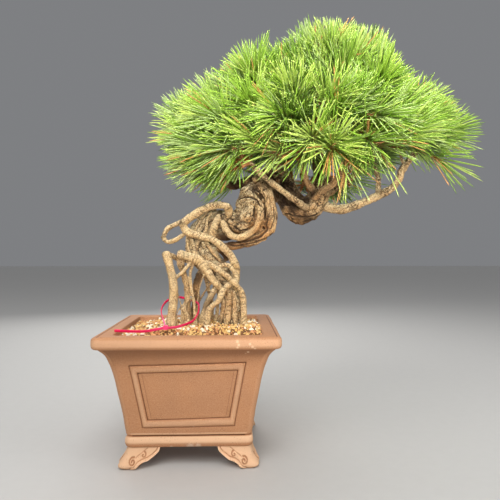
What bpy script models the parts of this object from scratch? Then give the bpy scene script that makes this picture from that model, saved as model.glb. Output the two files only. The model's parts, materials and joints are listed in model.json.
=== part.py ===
"""Japanese black pine bonsai with bared roots, standing in a square pot of unglazed clay.

Lengths are in metres, +Z is up and the viewer of the front stands towards -Y. Everything is
laid out round the middle of the pot, and a parent empty then moves the whole plant so that
its box stands centred on the origin.
"""

import math
from dataclasses import dataclass

import bmesh
import bpy
import numpy as np
from mathutils import Matrix, Vector

MM = 0.001
GAP = 0.3 * MM  # space between two pieces that meet

# Pot: a square bowl with flared walls, a rolled rim, a foot moulding and a framed panel a side
RIM_WIDTH = 230 * MM
RIM_TOP = 168.5 * MM
RIM_BAND = 10 * MM
RIM_LIP = 22 * MM
POT_UNDERSIDE = 28 * MM
POT_FLOOR = 40 * MM
WALL = 9 * MM
CORNER = 8 * MM
CORNER_STEPS = 2
MOULDING_HALF = 81.2 * MM
MOULDING_TOP = 41 * MM
EDGE_TALL = 3 * MM  # a rounded edge, up the face
EDGE_DEEP = 2.2 * MM  # and in from it
INSIDE_LEVELS = (150 * MM, 93 * MM, POT_FLOOR)  # where the hollow's sides bend
WALL_PROFILE = (  # height and half width of the wall's outer face, in mm
    (45, 79.8),
    (68, 83.6),
    (93, 88.2),
    (116, 92.8),
    (136, 98.4),
    (150, 105.0),
    (157, 111.0),
)
PANEL_RAISE = 1.3 * MM
PANEL_SINK = 1.2 * MM
PANEL_OUTER = ((54, 58.2), (136, 72.5))  # height and half width at its foot and its top, in mm
PANEL_INNER = ((64, 50.5), (125, 63.0))

# Feet: one scrolled bracket under each corner, with its sizes in mm
FOOT_TOP = (POT_UNDERSIDE - GAP) / MM
FOOT_WALL = 14
FOOT_INNER_CORNER = 2
FOOT_FLARE = ((0, 86.5), (3, 88.0), (7, 85.5), (14, 81.8), (FOOT_TOP, 78.6))  # height, half width
FOOT_CURL = ((66, 0), (63, 4.5), (57, 8.6), (50, 10.8), (43.5, 15.2), (38, 21.0), (35, FOOT_TOP))
FOOT_BEYOND = 100  # from the pot's middle to past a foot's outer face
FOOT_DEEP = 40  # from there to past its inner face

# Soil: gritty mound with a level top round the roots
SOIL_TOP = 171 * MM
SOIL_EDGE = 163 * MM
SOIL_LEVEL_X = (-50 * MM, 83 * MM)
SOIL_LEVEL_Y = (-52 * MM, 48 * MM)

# Cable tie left round the two front roots
TIE_RING = (  # points round the loop, in mm, from its head
    (-31.6, -62, 173.4),
    (-19.8, -60, 173.4),
    (-8.7, -52, 175.2),
    (2.4, -42, 179.3),
    (8.1, -30, 188.1),
    (8.6, -22, 193.6),
    (8.1, -16, 197.6),
    (4.4, -9, 200.7),
    (-3.7, -2, 203.2),
    (-13.8, 0, 205.8),
    (-22.8, -2, 207.0),
    (-33.8, -13, 204.6),
    (-39.8, -22, 198.6),
    (-41.4, -32, 191.6),
    (-38.6, -43, 185.0),
    (-34.2, -54, 178.0),
)
TIE_ACROSS = (0.04, -0.49, 0.87)  # the way that the loop's width lies
TIE_BAND = 3.6 * MM
TIE_THICK = 1.4 * MM
TIE_TAIL = ((-31.6, -62, 173.4), (-51, -72, 170.9), (-65, -74, 170.3), (-94.7, -72, 171.1))
TAIL_ACROSS = (0, -0.3, 1)
TIE_HEAD = (6.0, 4.6, 6.2)
TIE_STEP = 7  # mm between readings of the loop

# Limbs: each runs through these points of x, y, z and radius, in mm from the pot's middle
CURVE_STEPS = 12  # readings of the smooth curve between two points
TRUNK_SIDES = 9
TRUNK_STEP = 12  # mm between rings
LIMB_SIDES = 6
LIMB_STEP = 10
THIN_SIDES = 5
THIN_LIMB = 4.0  # mm, the thickest radius that takes the fewer sides
FINE_STEP = 3  # mm between the points that distances are measured to
LIMB_NEAR = 4  # mm between two limbs below which one is notched round the other
GROUND_HALF = 150 * MM  # half width of the block that cuts the roots flat
TRUNK_PARTS = (
    (
        (51, 12, 150, 27),
        (52, 10, 178, 18),
        (52, 9, 202, 13.8),
        (46, 8, 224, 14.4),
        (31, 6, 245, 17.9),
        (13, 6, 267, 20.4),
        (8, 8, 288, 19.8),
        (16, 10, 310, 16.4),
        (29, 12, 327, 12.5),
    ),
    (
        (20, 10, 316, 13.5),
        (44, 10, 318, 13),
        (65, 5, 314, 17.5),
        (76, 5, 328, 19.2),
        (79, 8, 348, 18),
        (88, 13, 366, 13.6),
        (94, 18, 382, 11),
    ),
    (
        (88, 14, 372, 10.5),
        (105, 21, 381, 12),
        (127, 20, 366, 16.2),
        (140, 14, 346, 19.6),
        (151, 9, 330, 19.4),
        (162, 6, 322, 13),
    ),
    (
        (152, 9, 326, 12),
        (162, 7, 330, 17.4),
        (175, 6, 345, 16),
        (183, 6, 366, 14),
        (182, 8, 392, 12),
        (174, 8, 421, 10),
        (170, 6, 450, 7.9),
        (176, 4, 474, 5.6),
    ),
)
ROOTS = {
    "root_arch_upper": (
        (49, -2, 322, 5.6),
        (49, -12, 333, 5.6),
        (36, -20, 336, 5.2),
        (20, -22, 332, 5.2),
        (5, -22, 324, 5.5),
        (-13, -22, 311, 5.8),
    ),
    "root_arch_lower": (
        (-14, -22, 310, 5.8),
        (-8, -22, 299, 5.5),
        (10, -24, 293, 5.5),
        (29, -24, 287, 5.1),
        (44, -20, 275, 4.8),
        (56, -14, 260, 4.9),
        (61, -8, 242, 4.6),
        (57, 3, 212, 3.8),
    ),
    "root_loop_upper": (
        (-6, -22, 317, 3.6),
        (-25, -14, 309, 3.2),
        (-36, -12, 303, 3.5),
        (-42, -12, 292, 3.6),
    ),
    "root_loop_lower": (
        (-43, -12, 293, 3.6),
        (-36, -13, 285, 3.1),
        (-24, -15, 288, 3.1),
        (-10, -20, 297, 3.1),
    ),
    "root_post": (
        (-30, -28, 160, 7.8),
        (-29, -28, 178, 7),
        (-26, -26, 203, 6.5),
        (-26, -26, 228, 6.3),
        (-31, -25, 251, 6),
        (-36, -24, 269.5, 6.4),
    ),
    "root_post_arm": (
        (-37, -24, 268, 4.4),
        (-28, -21, 266, 3.5),
        (-20, -12, 260, 3.2),
        (4, 0, 258, 3.0),
    ),
    "root_knee": (
        (-18, -25, 268, 6.2),
        (-6, -23, 265, 5.6),
        (7, -20, 260, 6.6),
        (17, -18, 249, 5.9),
        (28, -16, 232, 5.0),
        (44, -4, 214, 4.2),
    ),
    "root_knee_leg": (
        (-18, -21, 266, 5.2),
        (-15, -18, 248, 4.6),
        (-10, -14, 230, 3.9),
        (-8, -12, 208, 4),
        (-9, -9, 190, 6),
        (-10, -8, 160, 8.6),
    ),
    "root_cross": ((-26, -26, 233, 2.9), (-12, -24, 245, 2.6), (-1, -21, 260, 2.6)),
    "root_diagonal": (
        (17, -14, 256, 4.0),
        (30, -19, 250, 4.3),
        (46, -18, 238, 4.5),
        (60, -16, 225, 4.3),
        (69, -12, 208, 4.4),
        (71, -8, 160, 5.8),
    ),
    "root_small_loop": (
        (34, -17, 249, 2.8),
        (45, -13, 253, 3.0),
        (54, -12, 248, 3.1),
        (60, -12, 236, 3.2),
        (62, -15, 223, 2.8),
    ),
    "root_fork_left": (
        (55, -15, 230, 4.3),
        (42, -18, 218, 4.5),
        (35, -20, 203, 4.5),
        (22, -18, 190, 4.4),
        (18, -16, 160, 6.4),
    ),
    "root_fork_back": ((38, 2, 232, 4.2), (25, -2, 210, 4.4), (17, -1, 192, 4.6), (9, 0, 160, 6.4)),
    "root_shaded": ((14, 4, 252, 5.8), (3, 14, 224, 5.2), (1, 20, 196, 5.4), (-2, 24, 160, 8)),
    "root_thin": (
        (0, -17, 257, 2.6),
        (-4, -15, 240, 2.3),
        (-2, -14, 218, 2.3),
        (2, -15, 196, 2.1),
        (4, -18, 160, 3.4),
    ),
    "root_strand": ((27, -14, 232, 1.8), (15, 3, 214, 1.7), (4, 17, 197, 1.8)),
    "root_stub": ((37, 3, 324, 4.4), (32, -5, 314, 4.7), (28, -8, 302, 5.0), (24, -4, 286, 4.8)),
    "root_band": (
        (88, 8, 376, 8),
        (100, 2, 363, 7.6),
        (107, 0, 349, 7.8),
        (110.5, 0, 334, 8.2),
        (111.5, 0, 318, 8.3),
        (109, 0, 304, 8),
        (98, 2, 293.5, 7.8),
        (82, 5, 287, 7.3),
        (60, 10, 280.5, 6.5),
        (26, 10, 275, 5.8),
    ),
    "root_round_burl": (
        (84, -2, 356, 4.2),
        (92, -9, 341, 4.5),
        (94, -11, 324, 4.8),
        (88, -12, 307, 4.9),
        (76, -13, 296, 4.9),
        (61, -12, 291, 4.9),
        (48, -10, 299, 4.9),
        (40, 2, 316, 4.6),
    ),
}
BOUGHS = {
    "bough_left_front": (
        (158, -8, 334, 5.6),
        (144, -26, 340, 4.8),
        (119, -33, 357, 4.0),
        (98, -39, 372, 3.8),
        (76, -46, 392, 3.4),
    ),
    "bough_left_back": (
        (84, 18, 377, 8),
        (69, 28, 372, 7.4),
        (52, 40, 371, 6.4),
        (37, 52, 384, 5.6),
        (26, 58, 402, 4.6),
    ),
    "bough_top_left": (
        (131, 19, 372, 7),
        (121, 14, 399, 6.2),
        (106, 10, 421, 5.4),
        (96, 8, 446, 4.4),
    ),
    "bough_front": (
        (173, -1, 354, 5.4),
        (158, -26, 367, 4.7),
        (150, -46, 379, 4.2),
        (142, -63, 390, 3.6),
    ),
    "bough_back": (
        (152, 18, 350, 6.8),
        (144, 40, 372, 6),
        (138, 60, 391, 5.2),
        (136, 74, 408, 4.4),
    ),
    "bough_middle": (
        (170, -4, 346, 6),
        (181, -24, 357, 5),
        (191, -39, 364, 4.5),
        (199, -51, 378, 4.1),
        (206, -61, 393, 3.6),
    ),
    "bough_middle_back": (
        (180, 14, 347, 5.8),
        (202, 28, 361, 5.2),
        (227, 44, 378, 4.9),
        (252, 58, 397, 4.5),
        (268, 68, 413, 4),
    ),
    "bough_right": (
        (180, 3, 338, 7.4),
        (208, -2, 332, 6.5),
        (233, -6, 338, 6.1),
        (259, -10, 350, 5.8),
        (278, -14, 360, 5.4),
        (288, -16, 372, 5.1),
        (292, -18, 385, 4.9),
        (302, -20, 400, 4.4),
        (313, -22, 413, 3.8),
    ),
    "bough_right_inner": (
        (260, -10, 352, 4.2),
        (262, -6, 372, 3.9),
        (259, 0, 396, 3.6),
        (257, 5, 422, 3.2),
    ),
    "dead_twig": ((296, -19, 391, 2.6), (291, -20, 401, 2.2), (288, -21, 410, 1.6)),
}

# Crown: each mass of needles has a middle, half sizes in x, y and z, its tufts and its limb
CROWN_MIDDLE = (180, 0, 395)
CROWN_HALF = (250, 168, 212)
CROWN_EYE = (57, -717, 271)  # where the front view is seen from
CROWN_OUTLINE = (
    (-66, 456), (-62, 478), (-37, 496), (-14, 512), (13, 528), (40, 542),
    (65, 563), (91, 573), (114, 583), (140, 594), (164, 608), (194, 603),
    (223, 602), (266, 601), (282, 585), (291, 564), (321, 547), (349, 532),
    (375, 513), (400, 496), (422, 479), (428, 450), (427, 426), (413, 397),
    (409, 372), (377, 365), (353, 352), (321, 339), (304, 328), (284, 349),
    (255, 354), (223, 348), (194, 345), (165, 350), (137, 357), (108, 368),
    (82, 376), (65, 372), (45, 355), (26, 335), (7, 341), (-11, 349),
    (-32, 364), (-49, 381), (-59, 401), (-66, 429),
)  # x and z of what the crown shows from there, at y = 0
MASSES = {
    "mass_left_front": ((22, -44, 434), (90, 82, 90), 11, "bough_left_front"),
    "mass_left_back": ((26, 60, 444), (82, 84, 76), 9, "bough_left_back"),
    "mass_top_left": ((86, 2, 502), (86, 84, 77), 10, "bough_top_left"),
    "mass_front": ((140, -92, 442), (86, 76, 84), 9, "bough_front"),
    "mass_back": ((142, 96, 470), (90, 76, 76), 9, "bough_back"),
    "mass_top": ((190, 0, 538), (94, 92, 70), 10, "trunk"),
    "mass_front_right": ((246, -88, 448), (88, 80, 86), 9, "bough_middle"),
    "mass_back_right": ((264, 90, 468), (88, 80, 78), 9, "bough_middle_back"),
    "mass_right": ((342, -18, 430), (76, 88, 90), 11, "bough_right"),
    "mass_top_right": ((280, 6, 498), (88, 90, 84), 10, "bough_right_inner"),
}
CELL_GAP = 0.6  # mm that a mass keeps on its own side of the plane to the next
LIMB_CLEAR = 1.2  # mm between a twig or needle and any limb
STEM_LENGTH = 20  # mm
STEM_BEND = 6  # mm from a stem's foot to its bend
STEM_RISE = 0.35  # how much a stem turns outwards there
TWIG_SIDES = 3
TWIG_TIP = 1.25  # mm, radius of the last twigs
TWIG_ROOM = 2.2  # mm, radius that a twig is tested with
TWIG_READINGS = 9
TWIG_CHOICES = 6  # older joints that a new twig tries to start from
TWIG_TURN_COST = 0.5
TWIG_SPREAD = 1.5  # mm that a twig's middle strays
TWIG_FOOT = 1.5  # most that a twig thickens towards its foot
TUFT_DEPTHS = (26, 52)  # mm under the outline of the crown that most tufts lie
TUFT_INSIDE = 0.15  # share of the tufts that lie deeper
TUFT_SIDE = 7  # mm that a tuft keeps from the next mass
TUFT_TRIES = 400
TUFT_REACH = 1.1  # share of the mass's half sizes that places are tried in
TUFT_ROOM = 4.0  # mm, radius that a tuft's place is tested with
TUFT_AXIS = (0.8, 0.9, 0.35)  # how far a tuft follows its twig, the way out, and up
LONE_APART = 80.0  # mm counted as the distance to the next tuft where there is none
CORE_SIDES = 4
CORE_TWIST = math.radians(32)  # turn from one ring of the core to the next
CORE_RINGS = ((-2, 1.6), (3, 2.2), (9, 1.9), (14, 1.2))  # mm along the axis, radius
CORE_ROOM = 2.0  # mm, radius that a core is tested with
NEEDLE_LEANS = (84, 56, 30)  # degrees from the axis in each band of the core, foot first
NEEDLE_STRAY = 8  # degrees either way
NEEDLE_LENGTH = 58  # mm
NEEDLE_SHARES = (0.85, 1.05)  # shortest and longest, as shares of that
NEEDLE_LEAST = 0.5  # share of its length below which a needle is left out
NEEDLE_ROOM = 0.5  # mm, radius that a needle is tested with
NEEDLE_READINGS = 16
NEEDLE_FOOT = 0.1  # share of its length at the first reading
NEEDLE_APART = 2.8  # mm that a needle keeps from twigs and from other needles
SEED = 7

COLOURS = {
    "clay": ((0.36, 0.19, 0.12, 1), 0.85),
    "soil": ((0.42, 0.25, 0.12, 1), 0.95),
    "tie": ((0.72, 0.02, 0.12, 1), 0.4),
    "bark": ((0.30, 0.20, 0.12, 1), 0.9),
    "root": ((0.50, 0.37, 0.22, 1), 0.85),
    "needles": ((0.14, 0.28, 0.05, 1), 0.6),
}


@dataclass
class Limb:
    """A limb's centre line as points with radii, in mm, read along its smooth curve."""

    name: str
    points: np.ndarray
    radii: np.ndarray

    @property
    def tip(self):
        return self.points[-1]

    @property
    def heading(self):
        step = self.points[-1] - self.points[-2]
        return step / np.linalg.norm(step)


def material(name):
    colour, roughness = COLOURS[name]
    made = bpy.data.materials.get(name)
    if made is None:
        made = bpy.data.materials.new(name)
        made.use_nodes = True
        shader = made.node_tree.nodes["Principled BSDF"]
        shader.inputs["Base Color"].default_value = colour
        shader.inputs["Roughness"].default_value = roughness
        shader.inputs["Metallic"].default_value = 0.0
        made.diffuse_color = colour
    return made


def add_object(name, points, faces, colour):
    """A closed mesh object with its faces turned outwards."""
    mesh = bpy.data.meshes.new(name)
    mesh.from_pydata([tuple(p) for p in points], [], faces)
    shape = bmesh.new()
    shape.from_mesh(mesh)
    bmesh.ops.recalc_face_normals(shape, faces=shape.faces)
    if shape.calc_volume(signed=True) < 0:
        bmesh.ops.reverse_faces(shape, faces=shape.faces)
    shape.to_mesh(mesh)
    shape.free()
    made = bpy.data.objects.new(name, mesh)
    made.data.materials.append(material(colour))
    bpy.context.scene.collection.objects.link(made)
    return made


def remove(obj):
    mesh = obj.data
    bpy.data.objects.remove(obj)
    bpy.data.meshes.remove(mesh)


def keep_largest_body(mesh):
    """Drops loose scraps and the walls of sealed hollows, so that one closed body is left."""
    shape = bmesh.new()
    shape.from_mesh(mesh)
    left = set(shape.faces)
    bodies = []
    while left:
        body = {left.pop()}
        border = list(body)
        while border:
            for edge in border.pop().edges:
                fresh = left.intersection(edge.link_faces)
                left -= fresh
                body |= fresh
                border += fresh
        bodies.append(body)
    spans = [sum(face.calc_area() for face in body) for body in bodies]
    main = bodies[spans.index(max(spans))]
    extra = [face for face in shape.faces if face not in main]
    bmesh.ops.delete(shape, geom=extra, context="FACES")
    shape.to_mesh(mesh)
    shape.free()


def boolean(obj, operation, tools, solver="EXACT"):
    """Applies one Boolean with all the tools, removes them, and keeps the main body."""
    group = bpy.data.collections.new("tools")
    bpy.context.scene.collection.children.link(group)
    for tool in tools:
        bpy.context.scene.collection.objects.unlink(tool)
        group.objects.link(tool)
    modifier = obj.modifiers.new("shape", "BOOLEAN")
    modifier.operation = operation
    modifier.operand_type = "COLLECTION"
    modifier.collection = group
    modifier.solver = solver
    graph = bpy.context.evaluated_depsgraph_get()
    result = bpy.data.meshes.new_from_object(obj.evaluated_get(graph))
    obj.modifiers.clear()
    old = obj.data
    obj.data = result
    bpy.data.meshes.remove(old)
    for tool in tools:
        remove(tool)
    bpy.data.collections.remove(group)
    keep_largest_body(obj.data)


def shade_round(obj, degrees=40):
    obj.data.shade_smooth()
    obj.data.set_sharp_from_angle(angle=math.radians(degrees))


def loft(rings, closed_ends=True):
    """Points and faces of the skin over rings that all hold the same number of points."""
    count = len(rings[0])
    points = [p for ring in rings for p in ring]
    faces = []
    for i in range(len(rings) - 1):
        for j in range(count):
            k = (j + 1) % count
            faces.append((i * count + j, i * count + k, (i + 1) * count + k, (i + 1) * count + j))
    if closed_ends:
        faces.append(tuple(reversed(range(count))))
        faces.append(tuple(range((len(rings) - 1) * count, len(rings) * count)))
    return points, faces


def prism(outline, lift):
    """Points and faces of an outline pushed along a vector."""
    ring = [Vector(p) for p in outline]
    return loft([ring, [p + Vector(lift) for p in ring]])


def rounded_square(half_x, half_y, radius, z, middle=(0.0, 0.0)):
    """A ring of points round a rectangle with round corners, going round from +X to +Y."""
    ring = []
    for sign_x, sign_y, start in ((1, -1, -90), (1, 1, 0), (-1, 1, 90), (-1, -1, 180)):
        for step in range(CORNER_STEPS + 1):
            turn = math.radians(start + 90 * step / CORNER_STEPS)
            x = middle[0] + sign_x * (half_x - radius) + radius * math.cos(turn)
            y = middle[1] + sign_y * (half_y - radius) + radius * math.sin(turn)
            ring.append((x, y, z))
    return ring


def wall_half(height):
    """Half width of the wall's outer face at a height, both in metres."""
    heights = [h * MM for h, _ in WALL_PROFILE]
    halves = [w * MM for _, w in WALL_PROFILE]
    return float(np.interp(height, heights, halves))


def inner_half(height):
    """Half width of the pot's hollow at a height."""
    opening = RIM_WIDTH / 2 - RIM_LIP
    return min(wall_half(height) - WALL, opening)


def panel_outline(span):
    """Heights and half widths of a panel from its foot to its top, with the wall's own bends."""
    (low, low_half), (high, high_half) = span
    heights = [low] + [h for h, _ in WALL_PROFILE if low < h < high] + [high]
    return [(h * MM, float(np.interp(h, (low, high), (low_half, high_half))) * MM) for h in heights]


def panel_slab(name, span, inward, outward):
    """A slab that follows the wall's front face between two depths."""
    rings = []
    for height, half in panel_outline(span):
        back = -(wall_half(height) - inward)
        front = -(wall_half(height) + outward)
        corners = ((-half, back), (half, back), (half, front), (-half, front))
        rings.append([(x, y, height) for x, y in corners])
    return add_object(name, *loft(rings), "clay")


def pot_profile():
    """Half widths and heights round the pot's wall, from its underside over the rim to its floor."""
    half = RIM_WIDTH / 2
    band_foot = RIM_TOP - RIM_BAND
    profile = [
        (MOULDING_HALF - EDGE_DEEP, POT_UNDERSIDE),
        (MOULDING_HALF, POT_UNDERSIDE + EDGE_TALL),
        (MOULDING_HALF, MOULDING_TOP - EDGE_TALL),
        (MOULDING_HALF - EDGE_DEEP, MOULDING_TOP),
    ]
    profile += [(wide * MM, height * MM) for height, wide in WALL_PROFILE]
    profile += [
        (half - EDGE_DEEP, band_foot),
        (half, band_foot + EDGE_TALL),
        (half, RIM_TOP - EDGE_TALL),
        (half - EDGE_DEEP, RIM_TOP),
        (half - RIM_LIP, RIM_TOP),
    ]
    return profile + [(inner_half(height), height) for height in INSIDE_LEVELS]


def make_pot():
    rings = [rounded_square(wide, wide, CORNER, height) for wide, height in pot_profile()]
    pot = add_object("pot", *loft(rings), "clay")
    for turn in range(4):
        frame = panel_slab("frame", PANEL_OUTER, WALL / 3, PANEL_RAISE)
        frame.data.transform(Matrix.Rotation(turn * math.pi / 2, 4, "Z"))
        boolean(pot, "UNION", [frame])
        sunk = panel_slab("sunk", PANEL_INNER, PANEL_SINK, WALL)
        sunk.data.transform(Matrix.Rotation(turn * math.pi / 2, 4, "Z"))
        boolean(pot, "DIFFERENCE", [sunk])
    shade_round(pot)
    return [pot]


def make_feet():
    """Four brackets: each is a flared corner wall, cut to the scrolled outline on both faces."""
    outer = [rounded_square(w * MM, w * MM, CORNER, h * MM) for h, w in FOOT_FLARE]
    inner = []
    for height, wide in reversed(FOOT_FLARE):
        inside = (wide - FOOT_WALL) * MM
        inner.append(rounded_square(inside, inside, FOOT_INNER_CORNER * MM, height * MM))
    outline = [(FOOT_BEYOND, 0)] + list(FOOT_CURL) + [(FOOT_BEYOND, FOOT_TOP)]
    far = -FOOT_BEYOND * MM
    deep = FOOT_DEEP * MM
    wings = []
    for side in (0, 1):
        rings = outer + inner
        points, faces = loft(rings, closed_ends=False)
        count = len(rings[0])
        last = (len(rings) - 1) * count
        faces += [(last + j, last + (j + 1) % count, (j + 1) % count, j) for j in range(count)]
        wing = add_object("wing", points, faces, "clay")
        if side == 0:
            cut = prism([(-x * MM, far, z * MM) for x, z in outline], (0, deep, 0))
        else:
            cut = prism([(far, -x * MM, z * MM) for x, z in outline], (deep, 0, 0))
        boolean(wing, "INTERSECT", [add_object("outline", *cut, "clay")])
        wings.append(wing)
    foot, other = wings
    boolean(foot, "UNION", [other])
    shade_round(foot, 30)
    feet = []
    names = ("foot_front_left", "foot_front_right", "foot_back_right", "foot_back_left")
    for turn, name in enumerate(names):
        copy = bpy.data.objects.new(name, foot.data)
        copy.rotation_euler = (0, 0, turn * math.pi / 2)
        bpy.context.scene.collection.objects.link(copy)
        feet.append(copy)
    bpy.data.objects.remove(foot)
    return feet


def make_soil():
    rings = []
    for height in (POT_FLOOR + GAP, *reversed(INSIDE_LEVELS[:-1]), SOIL_EDGE):
        half = inner_half(height) - GAP
        rings.append(rounded_square(half, half, CORNER, height))
    wide = (SOIL_LEVEL_X[1] - SOIL_LEVEL_X[0]) / 2
    deep = (SOIL_LEVEL_Y[1] - SOIL_LEVEL_Y[0]) / 2
    middle = (sum(SOIL_LEVEL_X) / 2, sum(SOIL_LEVEL_Y) / 2)
    rings.append(rounded_square(wide, deep, CORNER, SOIL_TOP, middle))
    return [add_object("soil", *loft(rings), "soil")]


def block_foot(half_x, half_y, z):
    """The four corners of a block's foot."""
    return [(x * half_x, y * half_y, z) for x, y in ((-1, -1), (1, -1), (1, 1), (-1, 1))]


def strap(name, points, across, closed):
    """A flat strap through the points, its width along `across`."""
    rings = []
    count = len(points)
    for i, point in enumerate(points):
        ahead = points[(i + 1) % count] if closed or i + 1 < count else point
        behind = points[i - 1] if closed or i else point
        along = (ahead - behind).normalized()
        out = along.cross(across).normalized() * TIE_THICK / 2
        side = across.normalized() * TIE_BAND / 2
        rings.append([point + out + side, point + out - side, point - out - side, point + side - out])
    if not closed:
        return add_object(name, *loft(rings), "tie")
    points, faces = loft(rings, closed_ends=False)
    last = (len(rings) - 1) * 4
    faces += [(last + j, last + (j + 1) % 4, (j + 1) % 4, j) for j in range(4)]
    return add_object(name, points, faces, "tie")


def make_tie():
    loop = [(*point, 0) for point in TIE_RING + TIE_RING[:1]]
    ring = [Vector(reading[:3]) * MM for reading in smooth_route(loop, TIE_STEP)[:-1]]
    tie = strap("cable_tie", ring, Vector(TIE_ACROSS), closed=True)
    tail = strap("tail", [Vector(p) * MM for p in TIE_TAIL], Vector(TAIL_ACROSS), closed=False)
    wide, deep, tall = (side * MM for side in TIE_HEAD)
    box = prism(block_foot(wide / 2, deep / 2, -tall / 2), (0, 0, tall))
    head = add_object("head", *box, "tie")
    head.data.transform(Matrix.Translation(Vector(TIE_TAIL[0]) * MM))
    boolean(tie, "UNION", [tail, head])
    return [tie]


def smooth_route(route, step):
    """Points and radii, in mm, read evenly along a smooth curve through the route's points."""
    route = np.array(route, float)
    ends = np.vstack([2 * route[0] - route[1], route, 2 * route[-1] - route[-2]])
    fine = []
    for a, b, c, d in zip(ends, ends[1:], ends[2:], ends[3:]):
        for t in np.linspace(0, 1, CURVE_STEPS, endpoint=False):
            bend = 2 * b + (c - a) * t + (2 * a - 5 * b + 4 * c - d) * t**2
            fine.append((bend + (3 * b - a - 3 * c + d) * t**3) / 2)
    fine = np.array(fine + [route[-1]])
    lengths = np.concatenate([[0], np.cumsum(np.linalg.norm(np.diff(fine[:, :3], axis=0), axis=1))])
    count = max(3, int(round(lengths[-1] / step)) + 1)
    at = np.linspace(0, lengths[-1], count)
    return np.column_stack([np.interp(at, lengths, fine[:, i]) for i in range(4)])


def tube(name, points, radii, sides, colour):
    """A tapering tube round the points, in mm, with flat ends square to it."""
    points = [Vector(p) for p in points]
    along = (points[1] - points[0]).normalized()
    side = along.orthogonal().normalized()
    rings = []
    for i, (point, radius) in enumerate(zip(points, radii)):
        ahead = points[min(i + 1, len(points) - 1)]
        behind = points[max(i - 1, 0)]
        along = (ahead - behind).normalized()
        side = (side - along * side.dot(along)).normalized()
        up = along.cross(side)
        turns = [2 * math.pi * j / sides for j in range(sides)]
        ring = [point + (side * math.cos(t) + up * math.sin(t)) * float(radius) for t in turns]
        rings.append([p * MM for p in ring])
    return add_object(name, *loft(rings), colour)


def sides_of(name, radii):
    if name == "trunk":
        return TRUNK_SIDES
    return THIN_SIDES if max(radii) <= THIN_LIMB else LIMB_SIDES


def touches(a, b):
    """Whether two limbs come nearer than the gap that parts them."""
    apart = np.linalg.norm(a.points[:, None] - b.points[None], axis=2)
    reach = a.radii[:, None] + b.radii[None] + LIMB_NEAR
    return bool((apart < reach).any())


def cut_at_soil(obj):
    """Cuts a root flat at the soil, where its shape runs on below it."""
    lowest = min(v.co.z for v in obj.data.vertices)
    if lowest > SOIL_TOP + GAP:
        return
    low = lowest - MM
    block = prism(block_foot(GROUND_HALF, GROUND_HALF, low), (0, 0, SOIL_TOP + GAP - low))
    ground = add_object("ground", *block, "soil")
    boolean(obj, "DIFFERENCE", [ground])


def make_trunk(limbs):
    """The whole trunk: bared foot, burl, neck and the leader that runs up into the crown."""
    parts = []
    points = []
    radii = []
    for number, route in enumerate(TRUNK_PARTS):
        line = smooth_route(route, TRUNK_STEP)
        parts.append(tube(f"trunk_{number}", line[:, :3], line[:, 3], TRUNK_SIDES, "bark"))
        fine = smooth_route(route, FINE_STEP)
        points.append(fine[:, :3])
        radii.append(fine[:, 3])
    trunk = parts[0]
    boolean(trunk, "UNION", parts[1:], "MANIFOLD")
    trunk.name = "trunk"
    cut_at_soil(trunk)
    limbs["trunk"] = Limb("trunk", np.vstack(points), np.concatenate(radii))
    return [trunk]


def make_limbs(routes, colour, limbs):
    """Tapering limbs, each notched round the earlier ones that it touches."""
    made = []
    for name, route in routes.items():
        line = smooth_route(route, LIMB_STEP)
        sides = sides_of(name, line[:, 3])
        obj = tube(name, line[:, :3], line[:, 3], sides, colour)
        fine = smooth_route(route, FINE_STEP)
        limb = Limb(name, fine[:, :3], fine[:, 3])
        cutters = []
        for other in limbs.values():
            if touches(limb, other):
                cutters += inflated(other)
        if cutters:
            boolean(obj, "DIFFERENCE", cutters)
        cut_at_soil(obj)
        shade_round(obj)
        limbs[name] = limb
        made.append(obj)
    return made


def inflated(limb):
    """The limb's own tubes, thicker all round by the gap."""
    routes = TRUNK_PARTS if limb.name == "trunk" else [{**ROOTS, **BOUGHS}[limb.name]]
    grown = []
    for route in routes:
        line = smooth_route(route, TRUNK_STEP if limb.name == "trunk" else LIMB_STEP)
        ends = line[:, :3].copy()
        ends[0] -= unit(line[1, :3] - line[0, :3]) * GAP / MM
        ends[-1] += unit(line[-1, :3] - line[-2, :3]) * GAP / MM
        wider = line[:, 3] + GAP / MM / math.cos(math.pi / THIN_SIDES)
        grown.append(tube("cutter", ends, wider, sides_of(limb.name, line[:, 3]), "bark"))
    return grown


class Space:
    """The room that one mass of needles keeps to, in mm."""

    def __init__(self, name, limbs):
        middle, _, self.tufts, self.bough = MASSES[name]
        self.middle = np.array(middle, float)
        self.planes = []
        for other, (middle, _, _, _) in MASSES.items():
            if other != name:
                step = np.array(middle, float) - self.middle
                far = np.linalg.norm(step)
                self.planes.append((step / far, self.middle + step / 2))
        self.wood = np.vstack([limb.points for limb in limbs.values()])
        self.wood_radii = np.concatenate([limb.radii for limb in limbs.values()])
        self.grown = np.empty((0, 3))

    def side_room(self, points):
        """How far each point is from the planes to the masses beside this one."""
        depths = [(foot - points) @ normal - CELL_GAP for normal, foot in self.planes]
        return np.min(depths, axis=0)

    def clear(self, points, radii):
        """Whether rounded points stay inside the room and off the limbs."""
        points = np.atleast_2d(points)
        if (np.minimum(crown_depth(points), self.side_room(points)) < radii).any():
            return False
        apart = np.linalg.norm(points[:, None] - self.wood[None], axis=2) - self.wood_radii[None]
        return bool((apart.min(axis=1) > radii + LIMB_CLEAR).all())

    def apart(self, point):
        """Whether a point keeps off the twigs and needles grown so far."""
        if not len(self.grown):
            return True
        return bool(np.linalg.norm(self.grown - point, axis=1).min() > NEEDLE_APART)


def crown_depth(points):
    """How far each point lies inside the outline that the masses make together."""
    points = np.atleast_2d(points)
    depths = []
    for middle, half, _, _ in MASSES.values():
        reach = np.linalg.norm((points - np.array(middle)) / np.array(half), axis=1)
        depths.append((1 - reach) * min(half))
    return np.minimum(np.max(depths, axis=0), outline_depth(points))


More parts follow.
